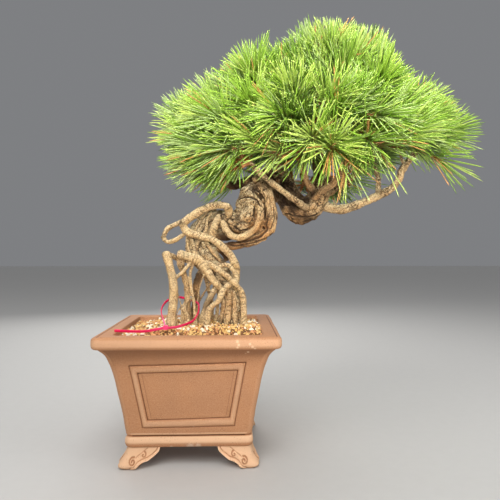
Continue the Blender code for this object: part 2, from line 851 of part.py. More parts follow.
def outline_depth(points):
    """How far each point shows inside the outline of the crown's front view."""
    eye = np.array(CROWN_EYE, float)
    ahead = (points[:, 1] - eye[1]) / -eye[1]
    shown = eye[[0, 2]] + (points[:, [0, 2]] - eye[[0, 2]]) / ahead[:, None]
    nearest = np.full(len(points), np.inf)
    inside = np.zeros(len(points), bool)
    corners = np.array(CROWN_OUTLINE, float)
    for foot, end in zip(corners, np.roll(corners, -1, axis=0)):
        side = end - foot
        share = np.clip((shown - foot) @ side / (side @ side), 0, 1)
        nearest = np.minimum(nearest, np.linalg.norm(shown - foot - share[:, None] * side, axis=1))
        crosses = (foot[1] > shown[:, 1]) != (end[1] > shown[:, 1])
        level = (shown[:, 1] - foot[1]) * side[0] / (side[1] or 1) + foot[0]
        inside ^= crosses & (shown[:, 0] < level)
    return np.where(inside, nearest, -nearest) * ahead


def unit(vector):
    return vector / np.linalg.norm(vector)


def outward(point):
    """The way out of the crown at a point."""
    away = (point - np.array(CROWN_MIDDLE, float)) / np.array(CROWN_HALF, float) ** 2
    return unit(away)


def tuft_places(space, half, taken, random):
    """Evenly spread places for tufts, most of them just under the outline of the crown."""
    places = []
    for number in range(space.tufts):
        deep = number >= space.tufts * (1 - TUFT_INSIDE)
        tries = space.middle + random.uniform(-TUFT_REACH, TUFT_REACH, (TUFT_TRIES, 3)) * half
        depths = crown_depth(tries)
        if deep:
            shell = depths > TUFT_DEPTHS[1]
        else:
            shell = (depths > TUFT_DEPTHS[0]) & (depths < TUFT_DEPTHS[1])
        best = None
        for place in tries[shell & (space.side_room(tries) > TUFT_SIDE)]:
            apart = min((np.linalg.norm(place - p) for p in taken + places), default=LONE_APART)
            if (best is None or apart > best[0]) and space.clear(place, TUFT_ROOM):
                best = (apart, place)
        if best is not None:
            places.append(best[1])
    return places


def grow_twigs(space, half, limb, taken, random):
    """Joints as (point, parent) and the tufts as (joint, axis), branching from one stem."""
    start = limb.tip + limb.heading * GAP / MM
    rise = unit(limb.heading + STEM_RISE * outward(limb.tip))
    joints = [(start, None), (start + limb.heading * STEM_BEND, 0)]
    joints.append((joints[1][0] + rise * (STEM_LENGTH - STEM_BEND), 1))
    along_twig, way_out, up = TUFT_AXIS
    tufts = []
    places = tuft_places(space, half, taken, random)
    places.sort(key=lambda place: np.linalg.norm(place - joints[2][0]))
    for place in places:
        order = sorted(range(2, len(joints)), key=lambda j: twig_cost(joints, j, place))
        for joint in order[:TWIG_CHOICES]:
            foot = joints[joint][0]
            if not space.clear(np.linspace(foot, place, TWIG_READINGS)[1:], TWIG_ROOM):
                continue
            joints.append(((foot + place) / 2 + random.normal(0, TWIG_SPREAD, 3), joint))
            joints.append((place, len(joints) - 1))
            axis = along_twig * unit(place - foot) + way_out * outward(place) + np.array((0, 0, up))
            tufts.append((len(joints) - 1, unit(axis)))
            taken.append(place)
            break
    return joints, tufts


def twig_cost(joints, joint, place):
    """Length of a new twig, longer for one that would turn back on itself."""
    point, parent = joints[joint]
    step = place - point
    ahead = unit(point - joints[parent][0])
    turn = 1 - float(ahead @ unit(step))
    return np.linalg.norm(step) * (1 + TWIG_TURN_COST * turn)


def twig_radii(joints):
    """Radius at each joint: the square root of how many twigs it carries."""
    carried = [0] * len(joints)
    parents = {parent for _, parent in joints}
    for tip in range(len(joints)):
        if tip in parents:
            continue
        at = tip
        while at is not None:
            carried[at] += 1
            at = joints[at][1]
    return [TWIG_TIP * math.sqrt(count) for count in carried]


def needle_line(space, foot, heading, random):
    """Points along a needle as far as it has room, or None where that is too short."""
    length = NEEDLE_LENGTH * random.uniform(*NEEDLE_SHARES)
    shares = np.linspace(NEEDLE_FOOT, 1, NEEDLE_READINGS)
    line = np.array([tuple(foot + heading * length * share) for share in shares])
    inside = [space.clear(point, NEEDLE_ROOM) and space.apart(point) for point in line]
    room = inside.index(False) if False in inside else len(inside)
    if room == 0 or shares[room - 1] < NEEDLE_LEAST:
        return None
    return line[:room]


def make_tuft(space, place, axis, random):
    """A tuft: a slim spindle on its twig, whose faces are drawn out into needles all round."""
    axis = Vector(axis)
    place = Vector(place)
    side = axis.orthogonal().normalized()
    up = axis.cross(side)
    core = np.array([tuple(place + axis * along) for along, _ in CORE_RINGS])
    if not space.clear(core, CORE_ROOM):
        return []
    start = random.uniform(0, 2 * math.pi)
    points = []
    for ring, (along, radius) in enumerate(CORE_RINGS):
        for j in range(CORE_SIDES):
            turn = start + ring * CORE_TWIST + 2 * math.pi * j / CORE_SIDES
            out = side * math.cos(turn) + up * math.sin(turn)
            points.append(place + axis * along + out * radius)
    faces = [tuple(range(CORE_SIDES))]
    grown = [core]
    for band, lean in enumerate(NEEDLE_LEANS):
        for j in range(CORE_SIDES):
            k = (j + 1) % CORE_SIDES
            low = band * CORE_SIDES
            face = (low + j, low + k, low + CORE_SIDES + k, low + CORE_SIDES + j)
            turn = start + (band + 0.5) * CORE_TWIST + 2 * math.pi * (j + 0.5) / CORE_SIDES
            tilt = math.radians(lean + random.uniform(-NEEDLE_STRAY, NEEDLE_STRAY))
            out = side * math.cos(turn) + up * math.sin(turn)
            heading = axis * math.cos(tilt) + out * math.sin(tilt)
            foot = sum((points[v] for v in face), Vector()) / 4
            line = needle_line(space, foot, heading, random)
            add_needle(points, faces, face, line)
            grown += [] if line is None else [line]
    last = tuple(range(len(CORE_RINGS) * CORE_SIDES - CORE_SIDES, len(CORE_RINGS) * CORE_SIDES))
    line = needle_line(space, place + axis * CORE_RINGS[-1][0], axis, random)
    add_needle(points, faces, last, line)
    grown += [] if line is None else [line]
    space.grown = np.vstack([space.grown] + grown)
    return [add_object("tuft", [p * MM for p in points], faces, "needles")]


def add_needle(points, faces, face, line):
    """Draws a face out to the end of a needle's line, or leaves it flat where there is none."""
    if line is None:
        faces.append(face)
        return
    points.append(Vector(line[-1]))
    end = len(points) - 1
    faces += [(a, b, end) for a, b in zip(face, face[1:] + face[:1])]


def make_twigs(space, joints, radii, tufts):
    """Each twig runs from its foot on an older one, over its middle joint, to its tuft."""
    pieces = []
    places = np.array([joints[joint][0] for joint, _ in tufts])
    for joint, _ in tufts:
        point, middle = joints[joint]
        bend, parent = joints[middle]
        foot = joints[parent][0]
        thick = min(radii[parent], radii[middle] * TWIG_FOOT)
        back = foot - unit(bend - foot) * thick / 2
        thicknesses = [thick, radii[middle], radii[joint]]
        pieces.append(tube("twig", [back, bend, point], thicknesses, TWIG_SIDES, "needles"))
        halves = (np.linspace(foot, bend, TWIG_READINGS), np.linspace(bend, point, TWIG_READINGS))
        line = np.vstack(halves)
        far = np.linalg.norm(line[:, None] - places[None], axis=2).min(axis=1) > TUFT_SIDE
        space.grown = np.vstack([space.grown, line[far]])
    return pieces


def make_masses(limbs):
    made = []
    taken = []
    for number, (name, (_, half, _, _)) in enumerate(MASSES.items()):
        random = np.random.RandomState(SEED + number)
        space = Space(name, limbs)
        limb = limbs[space.bough]
        joints, tufts = grow_twigs(space, np.array(half), limb, taken, random)
        radii = twig_radii(joints)
        thick = float(limb.radii[-1])
        line = [point for point, _ in joints[:3]]
        stem = tube(name, line, [thick, thick, radii[2]], THIN_SIDES, "needles")
        pieces = make_twigs(space, joints, radii, tufts)
        for joint, axis in tufts:
            pieces += make_tuft(space, joints[joint][0], axis, random)
        boolean(stem, "UNION", pieces, "MANIFOLD")
        made.append(stem)
    return made


def stand_on_origin(objects):
    """Parents the whole plant to an empty that brings its box's bottom middle to the origin."""
    bpy.context.view_layer.update()
    corners = []
    for obj in objects:
        corners += [obj.matrix_world @ v.co for v in obj.data.vertices]
    corners = np.array([tuple(c) for c in corners])
    low = corners.min(axis=0)
    high = corners.max(axis=0)
    anchor = bpy.data.objects.new("bonsai", None)
    anchor.location = (-(low[0] + high[0]) / 2, -(low[1] + high[1]) / 2, -low[2])
    bpy.context.scene.collection.objects.link(anchor)
    for obj in objects:
        obj.parent = anchor


def main():
    for obj in list(bpy.data.objects):
        bpy.data.objects.remove(obj)
    limbs = {}
    objects = make_pot() + make_feet() + make_soil() + make_tie()
    objects += make_trunk(limbs)
    objects += make_limbs(ROOTS, "root", limbs)
    objects += make_limbs(BOUGHS, "bark", limbs)
    objects += make_masses(limbs)
    stand_on_origin(objects)


main()
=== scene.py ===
"""The looks of a japanese black pine bonsai with bared roots, in a square pot of unglazed clay.

Shapes are worked out in mm from the middle of the pot on the table, with +X to the right of the
front view, +Y away from its viewer and +Z up. add_piece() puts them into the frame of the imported
model, in metres.
"""

import json
import logging
import math
from collections.abc import Sequence
from dataclasses import dataclass, field
from enum import Enum
from itertools import product

import bmesh
import bpy
import numpy as np
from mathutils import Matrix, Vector

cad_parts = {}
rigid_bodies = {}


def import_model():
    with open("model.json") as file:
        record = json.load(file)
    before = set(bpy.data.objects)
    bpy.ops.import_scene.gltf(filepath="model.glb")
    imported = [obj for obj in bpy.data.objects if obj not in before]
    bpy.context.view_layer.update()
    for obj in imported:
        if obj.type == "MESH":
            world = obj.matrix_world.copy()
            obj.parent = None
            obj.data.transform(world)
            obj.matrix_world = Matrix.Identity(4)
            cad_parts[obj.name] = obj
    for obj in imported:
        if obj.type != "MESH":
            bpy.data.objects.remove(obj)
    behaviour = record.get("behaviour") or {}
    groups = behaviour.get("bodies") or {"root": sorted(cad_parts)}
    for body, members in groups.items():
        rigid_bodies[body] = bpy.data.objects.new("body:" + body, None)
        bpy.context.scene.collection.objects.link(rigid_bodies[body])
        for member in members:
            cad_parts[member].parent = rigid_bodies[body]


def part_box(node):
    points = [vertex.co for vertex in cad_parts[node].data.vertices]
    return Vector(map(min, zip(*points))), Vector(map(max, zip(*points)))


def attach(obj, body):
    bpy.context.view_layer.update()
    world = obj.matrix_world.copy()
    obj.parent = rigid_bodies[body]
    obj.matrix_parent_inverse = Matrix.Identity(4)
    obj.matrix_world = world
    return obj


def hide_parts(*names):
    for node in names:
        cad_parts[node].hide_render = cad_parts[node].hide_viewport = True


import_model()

LOG = logging.getLogger("bonsai")
MM = 0.001  # metres
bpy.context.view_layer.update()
POT_LOW, POT_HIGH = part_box("pot")
POT_MIDDLE = np.array([(POT_LOW.x + POT_HIGH.x) / 2, (POT_LOW.y + POT_HIGH.y) / 2, 0.0]) / MM
Colour = tuple[float, float, float, float]
Random = np.random.RandomState
Socket = bpy.types.NodeSocket
GOLDEN_ANGLE = 2.39996  # radians
BATCH = 4000  # points set against every limb at a time, so that memory holds them


def srgb(red: int, green: int, blue: int) -> Colour:
    """Gives a colour that is written as the eye sees it, from 0 to 255, as Blender's linear one.

    Args:
        red: Share of red.
        green: Share of green.
        blue: Share of blue.

    Returns:
        The linear colour with full alpha.
    """
    shares = [value / 255 for value in (red, green, blue)]
    linear = [s / 12.92 if s <= 0.04045 else ((s + 0.055) / 1.055) ** 2.4 for s in shares]
    return (linear[0], linear[1], linear[2], 1.0)


def unit(vectors: np.ndarray) -> np.ndarray:
    """Scales vectors to a length of one along the last axis."""
    return vectors / np.linalg.norm(vectors, axis=-1, keepdims=True)


def ease(values: np.ndarray, low: float, high: float) -> np.ndarray:
    """Gives shares that rise smoothly from 0, for values at `low`, to 1, for values at `high`."""
    share = np.clip((values - low) / (high - low), 0, 1)
    return share * share * (3 - 2 * share)


def line_mark(distance: np.ndarray, width: float) -> np.ndarray:
    """Gives 1 on a line, a third at `width` from it and nearly nothing at twice that distance."""
    return np.exp(-((distance / width) ** 2))


def quarter_turned(points: np.ndarray, quarters: int) -> np.ndarray:
    """Turns points round the pot's upright axis.

    Args:
        points: The points, with x, y and z in the last axis.
        quarters: How many quarter turns they make, seen from above against the clock.

    Returns:
        The turned points.
    """
    angle = quarters * math.pi / 2
    c, s = math.cos(angle), math.sin(angle)
    return points @ np.array([[c, s, 0], [-s, c, 0], [0, 0, 1]])


def run_length(line: np.ndarray) -> np.ndarray:
    """Gives how far along a line of points each of them lies."""
    return np.concatenate([[0], np.cumsum(np.linalg.norm(np.diff(line, axis=0), axis=1))])


def read_along(line: np.ndarray, lengths: np.ndarray, at: np.ndarray | float) -> np.ndarray:
    """Reads a line's columns at some of its lengths."""
    return np.stack([np.interp(at, lengths, column) for column in line.T], axis=-1)


def off_segment(points: np.ndarray, foot: np.ndarray, end: np.ndarray) -> np.ndarray:
    """Gives the step to each point from the place nearest to it on a straight line.

    Args:
        points: The points.
        foot: Where the line starts.
        end: Where it ends.

    Returns:
        The steps.
    """
    side = end - foot
    share = np.clip((points - foot) @ side / (side @ side), 0, 1)
    return points - foot - share[:, None] * side


def dice(cells: np.ndarray, seed: int) -> np.ndarray:
    """Gives a fixed number from 0 to 1 for each cell of a lattice.

    Args:
        cells: Whole coordinates, in the last axis.
        seed: Picks one of many such numberings.

    Returns:
        One number a cell.
    """
    cells = cells.astype(np.uint64)
    mixed = cells[..., 0] * np.uint64(73856093) ^ cells[..., 1] * np.uint64(19349663)
    mixed ^= cells[..., 2] * np.uint64(83492791) ^ np.uint64(seed * 2654435761 % 2**32)
    for _ in range(2):
        mixed &= np.uint64(0xFFFFFFFF)
        mixed = (mixed ^ (mixed >> np.uint64(16))) * np.uint64(0x45D9F3B)
    mixed &= np.uint64(0xFFFFFFFF)
    return (mixed ^ (mixed >> np.uint64(16))).astype(float) / 2**32


def soft_noise(points: np.ndarray, size: float, seed: int) -> np.ndarray:
    """Smooth noise from -1 to 1 that changes over cells of one size.

    Args:
        points: Where it is read, in mm.
        size: Size of a cell, in mm.
        seed: Picks the pattern.

    Returns:
        One value a point.
    """
    scaled = points / size
    cells = np.floor(scaled).astype(np.int64)
    inside = scaled - cells
    inside = inside * inside * (3 - 2 * inside)
    total = np.zeros(len(points))
    for corner in product((0, 1), repeat=3):
        weight = np.prod(np.where(corner, inside, 1 - inside), axis=1)
        total += weight * dice(cells + np.array(corner), seed)
    return total * 2 - 1


def cell_noise(points: np.ndarray, size: float, seed: int) -> tuple[np.ndarray, np.ndarray]:
    """Distances, in cells, to the nearest seed point and from there to the second nearest.

    Args:
        points: Where it is read, in mm.
        size: Size of a cell, in mm.
        seed: Picks the pattern.

    Returns:
        The nearest distance, and how much further the next one is.
    """
    scaled = points / size
    cells = np.floor(scaled).astype(np.int64)
    nearest = np.full(len(points), 9.0)
    second = np.full(len(points), 9.0)
    for step in product((-1, 0, 1), repeat=3):
        cell = cells + np.array(step)
        place = np.stack([dice(cell, seed + axis) for axis in range(3)], axis=1)
        apart = np.linalg.norm(cell + place - scaled, axis=1)
        second = np.minimum(second, np.maximum(nearest, apart))
        nearest = np.minimum(nearest, apart)
    return nearest, second - nearest


@dataclass
class Shape:
    """Points in mm with the faces between them, as arrays of triangles, quads or wider faces."""

    points: np.ndarray
    faces: list[np.ndarray]

    def volume(self) -> float:
        """Gives the signed volume, which is negative where the faces point inwards.

        Returns:
            The volume in cubic mm.
        """
        total = 0.0
        for group in self.faces:
            first = self.points[group[:, 0]]
            for turn in range(1, group.shape[1] - 1):
                cross = np.cross(self.points[group[:, turn]], self.points[group[:, turn + 1]])
                total += float(np.einsum("ij,ij->", first, cross))
        return total / 6

    def facing_out(self) -> "Shape":
        """Gives the shape with its faces turned round if they point inwards."""
        turned = [group[:, ::-1] for group in self.faces]
        return Shape(self.points, turned) if self.volume() < 0 else self


def join(shapes: Sequence[Shape]) -> Shape:
    """Joins shapes into one, each keeping its own points.

    Args:
        shapes: The shapes to join.

    Returns:
        The joined shape.
    """
    points = []
    faces: dict[int, list[np.ndarray]] = {}
    count = 0
    for shape in shapes:
        points.append(shape.points)
        for group in shape.faces:
            faces.setdefault(group.shape[1], []).append(group + count)
        count += len(shape.points)
    return Shape(np.vstack(points), [np.vstack(groups) for groups in faces.values()])


def skin(rings: np.ndarray, loop: bool = False) -> Shape:
    """Skins rings of points, with flat faces over the two end rings.

    Args:
        rings: Points by ring, by place in the ring and by axis.
        loop: Whether the last ring joins the first, which leaves no ends.

    Returns:
        The closed shape, facing out.
    """
    count, around, _ = rings.shape
    numbers = np.arange(count * around).reshape(count, around)
    ahead = np.roll(numbers, -1, axis=0) if loop else numbers[1:]
    behind = numbers if loop else numbers[:-1]
    quads = np.stack([behind, np.roll(behind, -1, 1), np.roll(ahead, -1, 1), ahead], axis=-1).reshape(-1, 4)
    faces = [quads]
    if not loop:
        faces.append(np.stack([numbers[0][::-1], numbers[-1]]))
    return Shape(rings.reshape(-1, 3), faces).facing_out()


def add_piece(
    name: str,
    shape: Shape,
    finish: bpy.types.Material,
    marks: dict[str, np.ndarray] | None = None,
    sharp: float | None = None,
) -> bpy.types.Object:
    """Makes an object of a shape, with its place in its mesh.

    Args:
        name: Name of the piece.
        shape: Its points in mm and its faces.
        finish: Its material.
        marks: Numbers kept at each point, by name.
        sharp: Angle in degrees past which an edge stays sharp. All are smooth without it.

    Returns:
        The object, linked to the scene.
    """
    mesh = bpy.data.meshes.new(name)
    mesh.vertices.add(len(shape.points))
    mesh.vertices.foreach_set("co", ((shape.points + POT_MIDDLE) * MM).astype(np.float32).ravel())
    corners = np.concatenate([group.ravel() for group in shape.faces])
    sizes = np.concatenate([np.full(len(group), group.shape[1]) for group in shape.faces])
    mesh.loops.add(len(corners))
    mesh.loops.foreach_set("vertex_index", corners.astype(np.int32))
    mesh.polygons.add(len(sizes))
    starts = np.concatenate([[0], np.cumsum(sizes)[:-1]])
    mesh.polygons.foreach_set("loop_start", starts.astype(np.int32))
    mesh.update(calc_edges=True)
    for mark, values in (marks or {}).items():
        layer = mesh.attributes.new(mark, "FLOAT", "POINT")
        layer.data.foreach_set("value", values.astype(np.float32))
    mesh.shade_smooth()
    if sharp is not None:
        mesh.set_sharp_from_angle(angle=math.radians(sharp))
    mesh.materials.append(finish)
    made = bpy.data.objects.new(name, mesh)
    bpy.context.scene.collection.objects.link(made)
    return made


def read_shape(mesh: bpy.types.Mesh) -> Shape:
    """Reads a mesh of the scene back into a shape in mm.

    Args:
        mesh: The mesh, in the frame's metres.

    Returns:
        Its points and faces.
    """
    points = np.empty(len(mesh.vertices) * 3)
    mesh.vertices.foreach_get("co", points)
    corners = np.empty(len(mesh.loops), np.int64)
    mesh.loops.foreach_get("vertex_index", corners)
    sizes = np.empty(len(mesh.polygons), np.int64)
    mesh.polygons.foreach_get("loop_total", sizes)
    starts = np.concatenate([[0], np.cumsum(sizes)[:-1]])
    faces = []
    for size in np.unique(sizes):
        first = starts[sizes == size]
        faces.append(corners[first[:, None] + np.arange(size)])
    return Shape(points.reshape(-1, 3) / MM - POT_MIDDLE, faces)


def drop(obj: bpy.types.Object) -> None:
    """Removes an object and its mesh.

    Args:
        obj: The object.
    """
    mesh = obj.data
    bpy.data.objects.remove(obj)
    bpy.data.meshes.remove(mesh)


def apply_modifiers(obj: bpy.types.Object) -> None:
    """Turns an object's modifiers into its own mesh.

    Args:
        obj: The object.
    """
    graph = bpy.context.evaluated_depsgraph_get()
    result = bpy.data.meshes.new_from_object(obj.evaluated_get(graph))
    obj.modifiers.clear()
    old = obj.data
    obj.data = result
    bpy.data.meshes.remove(old)
    result.name = obj.name


def hand_over(obj: bpy.types.Object, slot: str, nodes: Sequence[str]) -> None:
    """Hangs a finished piece on the root body, hides the nodes that it replaces and logs its triangles and
    slot.

    Args:
        obj: The finished piece.
        slot: The record's material slot.
        nodes: CAD nodes that it stands for.
    """
    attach(obj, "root")
    if nodes:
        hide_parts(*nodes)
    triangles = sum(len(face.vertices) - 2 for face in obj.data.polygons)
    LOG.info("%s: %d triangles, slot %s", obj.name, triangles, slot)


class Wiring:
    """Adds nodes to one tree and joins them."""

    def __init__(self, tree: bpy.types.NodeTree) -> None:
        """Takes the tree that the nodes go into."""
        self.tree = tree

    def add(self, kind: str, sockets: dict[str | int, object], **settings: object) -> bpy.types.Node:
        """Adds a node.

        Args:
            kind: Type name of the node.
            sockets: A value, or a socket to join from, for each input.
            settings: Values for the node's own settings.

        Returns:
            The node.
        """
        node = self.tree.nodes.new(kind)
        for key, value in settings.items():
            setattr(node, key, value)
        self.feed(node, sockets)
        return node

    def feed(self, node: bpy.types.Node, sockets: dict[str | int, object]) -> None:
        """Fills inputs of a node.

        Args:
            node: The node.
            sockets: A value, or a socket to join from, for each input.
        """
        for key, value in sockets.items():
            if isinstance(value, Socket):
                self.tree.links.new(value, node.inputs[key])
            else:
                node.inputs[key].default_value = value

    def mix(self, share: object, base: object, other: object, blend: str = "MIX") -> Socket:
        """Mixes two colours.

        Args:
            share: How much of the other colour there is.
            base: The colour at a share of 0.
            other: The colour at a share of 1.
            blend: Name of the way of mixing.

        Returns:
            The socket of the mixed colour.
        """
        sockets = {0: share, 6: base, 7: other}
        node = self.add("ShaderNodeMix", sockets, data_type="RGBA", blend_type=blend)
        return node.outputs[2]

    def sum(self, kind: str, first: object, second: object, clamp: bool = True) -> Socket:
        """Works out a sum of two numbers, such as MULTIPLY, kept from 0 to 1 if `clamp` says so."""
        sockets = {0: first, 1: second}
        return self.add("ShaderNodeMath", sockets, operation=kind, use_clamp=clamp).outputs[0]

    def span(
        self, value: object, low: float, high: float, start: float = 0.0, end: float = 1.0
    ) -> Socket:
        """Maps a number's span from `low` to `high` onto that from `start` to `end`, smoothly."""
        sockets = {"Value": value, "From Min": low, "From Max": high, "To Min": start, "To Max": end}
        return self.add("ShaderNodeMapRange", sockets, interpolation_type="SMOOTHSTEP").outputs[0]

    def mark(self, name: str) -> Socket:
        """Reads a number that the mesh keeps at its points."""
        return self.add("ShaderNodeAttribute", {}, attribute_name=name).outputs["Fac"]

    def coordinates(self) -> Socket:
        """Reads Object coordinates."""
        return self.add("ShaderNodeTexCoord", {}).outputs["Object"]


class SharedEffect(Enum):
    """Effects that several materials use, each a node group that is built once."""

    GRAIN = "grain"
    PORES = "pores"
    PATCHES = "patches"
    SPOT = "spot"

    def group(self) -> bpy.types.NodeTree:
        """Gives the effect's node group, and builds it on first use.

        Returns:
            The group.
        """
        found = bpy.data.node_groups.get(self.value)
        if found is not None:
            return found
        tree = bpy.data.node_groups.new(self.value, "ShaderNodeTree")
        for name in ("Vector", *EFFECT_INPUTS[self]):
            kind = "NodeSocketVector" if name in ("Vector", "Place") else "NodeSocketFloat"
            tree.interface.new_socket(name, in_out="INPUT", socket_type=kind)
        tree.interface.new_socket("Mask", in_out="OUTPUT", socket_type="NodeSocketFloat")
        wiring = Wiring(tree)
        given = tree.nodes.new("NodeGroupInput").outputs
        result = EFFECT_BUILDERS[self](wiring, given)
        wiring.add("NodeGroupOutput", {"Mask": result})
        return tree

    def place(self, wiring: Wiring, vector: Socket, **values: object) -> Socket:
        """Places the group in a material.

        Args:
            wiring: The material's wiring.
            vector: The coordinates that the effect reads.
            values: The group's own inputs, by name.

        Returns:
            The socket of the mask.
        """
        node = wiring.add("ShaderNodeGroup", {"Vector": vector, **values}, node_tree=self.group())
        return node.outputs["Mask"]


def build_grain(wiring: Wiring, given: bpy.types.NodeInputs) -> Socket:
    """Fine grain: noise over several sizes."""
    sockets = {"Vector": given["Vector"], "Scale": given["Scale"], "Detail": 4.0, "Roughness": 0.65}
    return wiring.add("ShaderNodeTexNoise", sockets).outputs["Fac"]


def build_pores(wiring: Wiring, given: bpy.types.NodeInputs) -> Socket:
    """Small round pores, more of them in some places than in others.

    Args:
        wiring: The group's wiring.
        given: The group's inputs.

    Returns:
        The socket of the mask, 1 inside a pore.
    """
    cells = wiring.add("ShaderNodeTexVoronoi", {"Vector": given["Vector"], "Scale": given["Scale"]})
    sockets = {"Vector": given["Vector"], "Scale": given["Patch Scale"], "Detail": 2.0}
    there = wiring.span(wiring.add("ShaderNodeTexNoise", sockets).outputs["Fac"], 0.35, 0.6)
    size = wiring.sum("MULTIPLY", given["Size"], there, clamp=False)
    inner = wiring.sum("MULTIPLY", size, 0.5, clamp=False)
    sockets = {"Value": cells.outputs["Distance"], "From Min": size, "From Max": inner}
    return wiring.add("ShaderNodeMapRange", sockets).outputs[0]


def build_patches(wiring: Wiring, given: bpy.types.NodeInputs) -> Socket:
    """Broad soft patches with ragged edges.

    Args:
        wiring: The group's wiring.
        given: The group's inputs.

    Returns:
        The socket of the mask.
    """
    sockets = {"Vector": given["Vector"], "Scale": given["Scale"], "Detail": 5.0, "Distortion": 0.6}
    noise = wiring.add("ShaderNodeTexNoise", sockets).outputs["Fac"]
    sockets = {"Value": noise, "From Min": given["Low"], "From Max": given["High"]}
    return wiring.add("ShaderNodeMapRange", sockets, interpolation_type="SMOOTHSTEP").outputs[0]


def build_spot(wiring: Wiring, given: bpy.types.NodeInputs) -> Socket:
    """One ragged spot round a place, broken up by fine noise.

    Args:
        wiring: The group's wiring.
        given: The group's inputs.

    Returns:
        The socket of the mask.
    """
    sockets = {0: given["Vector"], 1: given["Place"]}
    apart = wiring.add("ShaderNodeVectorMath", sockets, operation="DISTANCE").outputs["Value"]
    near = wiring.sum("DIVIDE", apart, given["Reach"], clamp=False)
    sockets = {"Vector": given["Vector"], "Scale": given["Scale"], "Detail": 6.0, "Roughness": 0.7}
    noise = wiring.add("ShaderNodeTexNoise", sockets).outputs["Fac"]
    return wiring.span(wiring.sum("ADD", near, noise, clamp=False), 1.15, 0.75)


EFFECT_INPUTS = {
    SharedEffect.GRAIN: ("Scale",),
    SharedEffect.PORES: ("Scale", "Size", "Patch Scale"),
    SharedEffect.PATCHES: ("Scale", "Low", "High"),
    SharedEffect.SPOT: ("Place", "Reach", "Scale"),
}
EFFECT_BUILDERS = {
    SharedEffect.GRAIN: build_grain,
    SharedEffect.PORES: build_pores,
    SharedEffect.PATCHES: build_patches,
    SharedEffect.SPOT: build_spot,
}


@dataclass(frozen=True)
class Finish:
    """A named material that its own kind fills with nodes."""

    name: str

    def make(self) -> bpy.types.Material:
        """Gives the finish's material, and builds it on first use.

        Returns:
            The material.
        """
        found = bpy.data.materials.get(self.name)
        if found is not None:
            return found
        made = bpy.data.materials.new(self.name)
        made.use_nodes = True
        wiring = Wiring(made.node_tree)
        self.wire(wiring, made.node_tree.nodes["Principled BSDF"])
        return made

    def wire(self, wiring: Wiring, shader: bpy.types.Node) -> None:
        """Adds the finish's own nodes.

        Args:
            wiring: The material's wiring.
            shader: Its Principled BSDF.
        """
        raise NotImplementedError

    def surface(
        self,
        wiring: Wiring,
        shader: bpy.types.Node,
        colour: object,
        roughness: object,
        gloss: float,
        height: object = None,
        depth: float = 0.0,
    ) -> None:
        """Joins colour, roughness, gloss and bump to the shader.

        Args:
            wiring: The material's wiring.
            shader: Its Principled BSDF.
            colour: The base colour.
            roughness: The roughness.
            gloss: Strength of its highlights.
            height: What the bump reads, if there is one.
            depth: Depth of the bump, in mm.
        """
        wiring.feed(shader, {"Base Color": colour, "Roughness": roughness, "Specular IOR Level": gloss})
        if height is not None:
            bump = wiring.add("ShaderNodeBump", {"Distance": depth * MM, "Height": height})
            wiring.feed(shader, {"Normal": bump.outputs["Normal"]})


def place_in_frame(x: float, y: float, z: float) -> tuple[float, float, float]:
    """Gives a place in mm from the pot's middle as the frame's own metres."""
    return tuple(float(v) for v in (np.array([x, y, z]) + POT_MIDDLE) * MM)


@dataclass(frozen=True)
class ClayFinish(Finish):
    """Unglazed clay: painted highlight on its crests and ledges, painted shade in its grooves and under the
    rim, with scuffs and a mineral bloom.
    """

    name: str = "fired clay"
    body: Colour = srgb(167, 114, 76)
    other: Colour = srgb(173, 118, 77)
    # light and dark are the colours of the painted highlight and painted shade; light also tints the random
    # speckle, and dark the pin pores.
    light: Colour = srgb(226, 184, 146)
    dark: Colour = srgb(92, 50, 25)
    bloom: Colour = srgb(226, 208, 188)
    scuff: Colour = srgb(244, 214, 178)
    mark_strength: float = 0.42
    scuffs: tuple = (
        ((61, -115, 164), 4.0), ((62.5, -115, 160), 3.4), ((61, -115, 157), 3.0), ((76, -115, 161), 3.6),
        ((79, -115, 157.5), 3.6), ((82, -114, 155), 3.0), ((74, -106, 150), 3.6), ((71, -105, 146.5), 3.2),
        ((73, -103, 143), 3.0),
    )
    blooms: tuple = (((2, -80, 26), 10.0), ((12, -80, 27), 7.0), ((-22, -80, 25), 5.0), ((6, -84, 51), 4.0))

    def wire(self, wiring: Wiring, shader: bpy.types.Node) -> None:
        """Adds the clay's nodes.

        Args:
            wiring: The material's wiring.
            shader: Its Principled BSDF.
        """
        at = wiring.coordinates()
        grain = SharedEffect.GRAIN.place(wiring, at, Scale=1400.0)
        cloud = SharedEffect.PATCHES.place(wiring, at, Scale=22.0, Low=0.3, High=0.7)
        pin = SharedEffect.PORES.place(wiring, at, **{"Scale": 420.0, "Size": 0.3, "Patch Scale": 60.0})
        relief = wiring.mark("relief")
        warm = wiring.mix(cloud, self.body, self.other)
        speckled = wiring.mix(wiring.span(grain, 0.35, 0.7, 0.0, 0.35), warm, self.light)
        # The relief mark paints the clay lighter as highlight above zero and darker as shade below zero.
        raised = wiring.mix(wiring.span(relief, 0.05, 1.0, 0.0, 0.9), speckled, self.light)
        painted_light_and_shade = wiring.mix(wiring.span(relief, -0.05, -1.0, 0.0, 0.95), raised, self.dark)
        colour = wiring.mix(wiring.sum("MULTIPLY", pin, 0.3), painted_light_and_shade, self.dark)
        for places, pale in ((self.blooms, self.bloom), (self.scuffs, self.scuff)):
            for place, reach in places:
                values = {"Place": place_in_frame(*place), "Reach": reach * MM, "Scale": 1100.0}
                spot = SharedEffect.SPOT.place(wiring, at, **values)
                colour = wiring.mix(wiring.sum("MULTIPLY", spot, self.mark_strength), colour, pale)
        height = wiring.mix(0.4, grain, pin, "SUBTRACT")
        self.surface(wiring, shader, colour, wiring.span(grain, 0.3, 0.7, 0.72, 0.9), 0.35, height, 0.25)


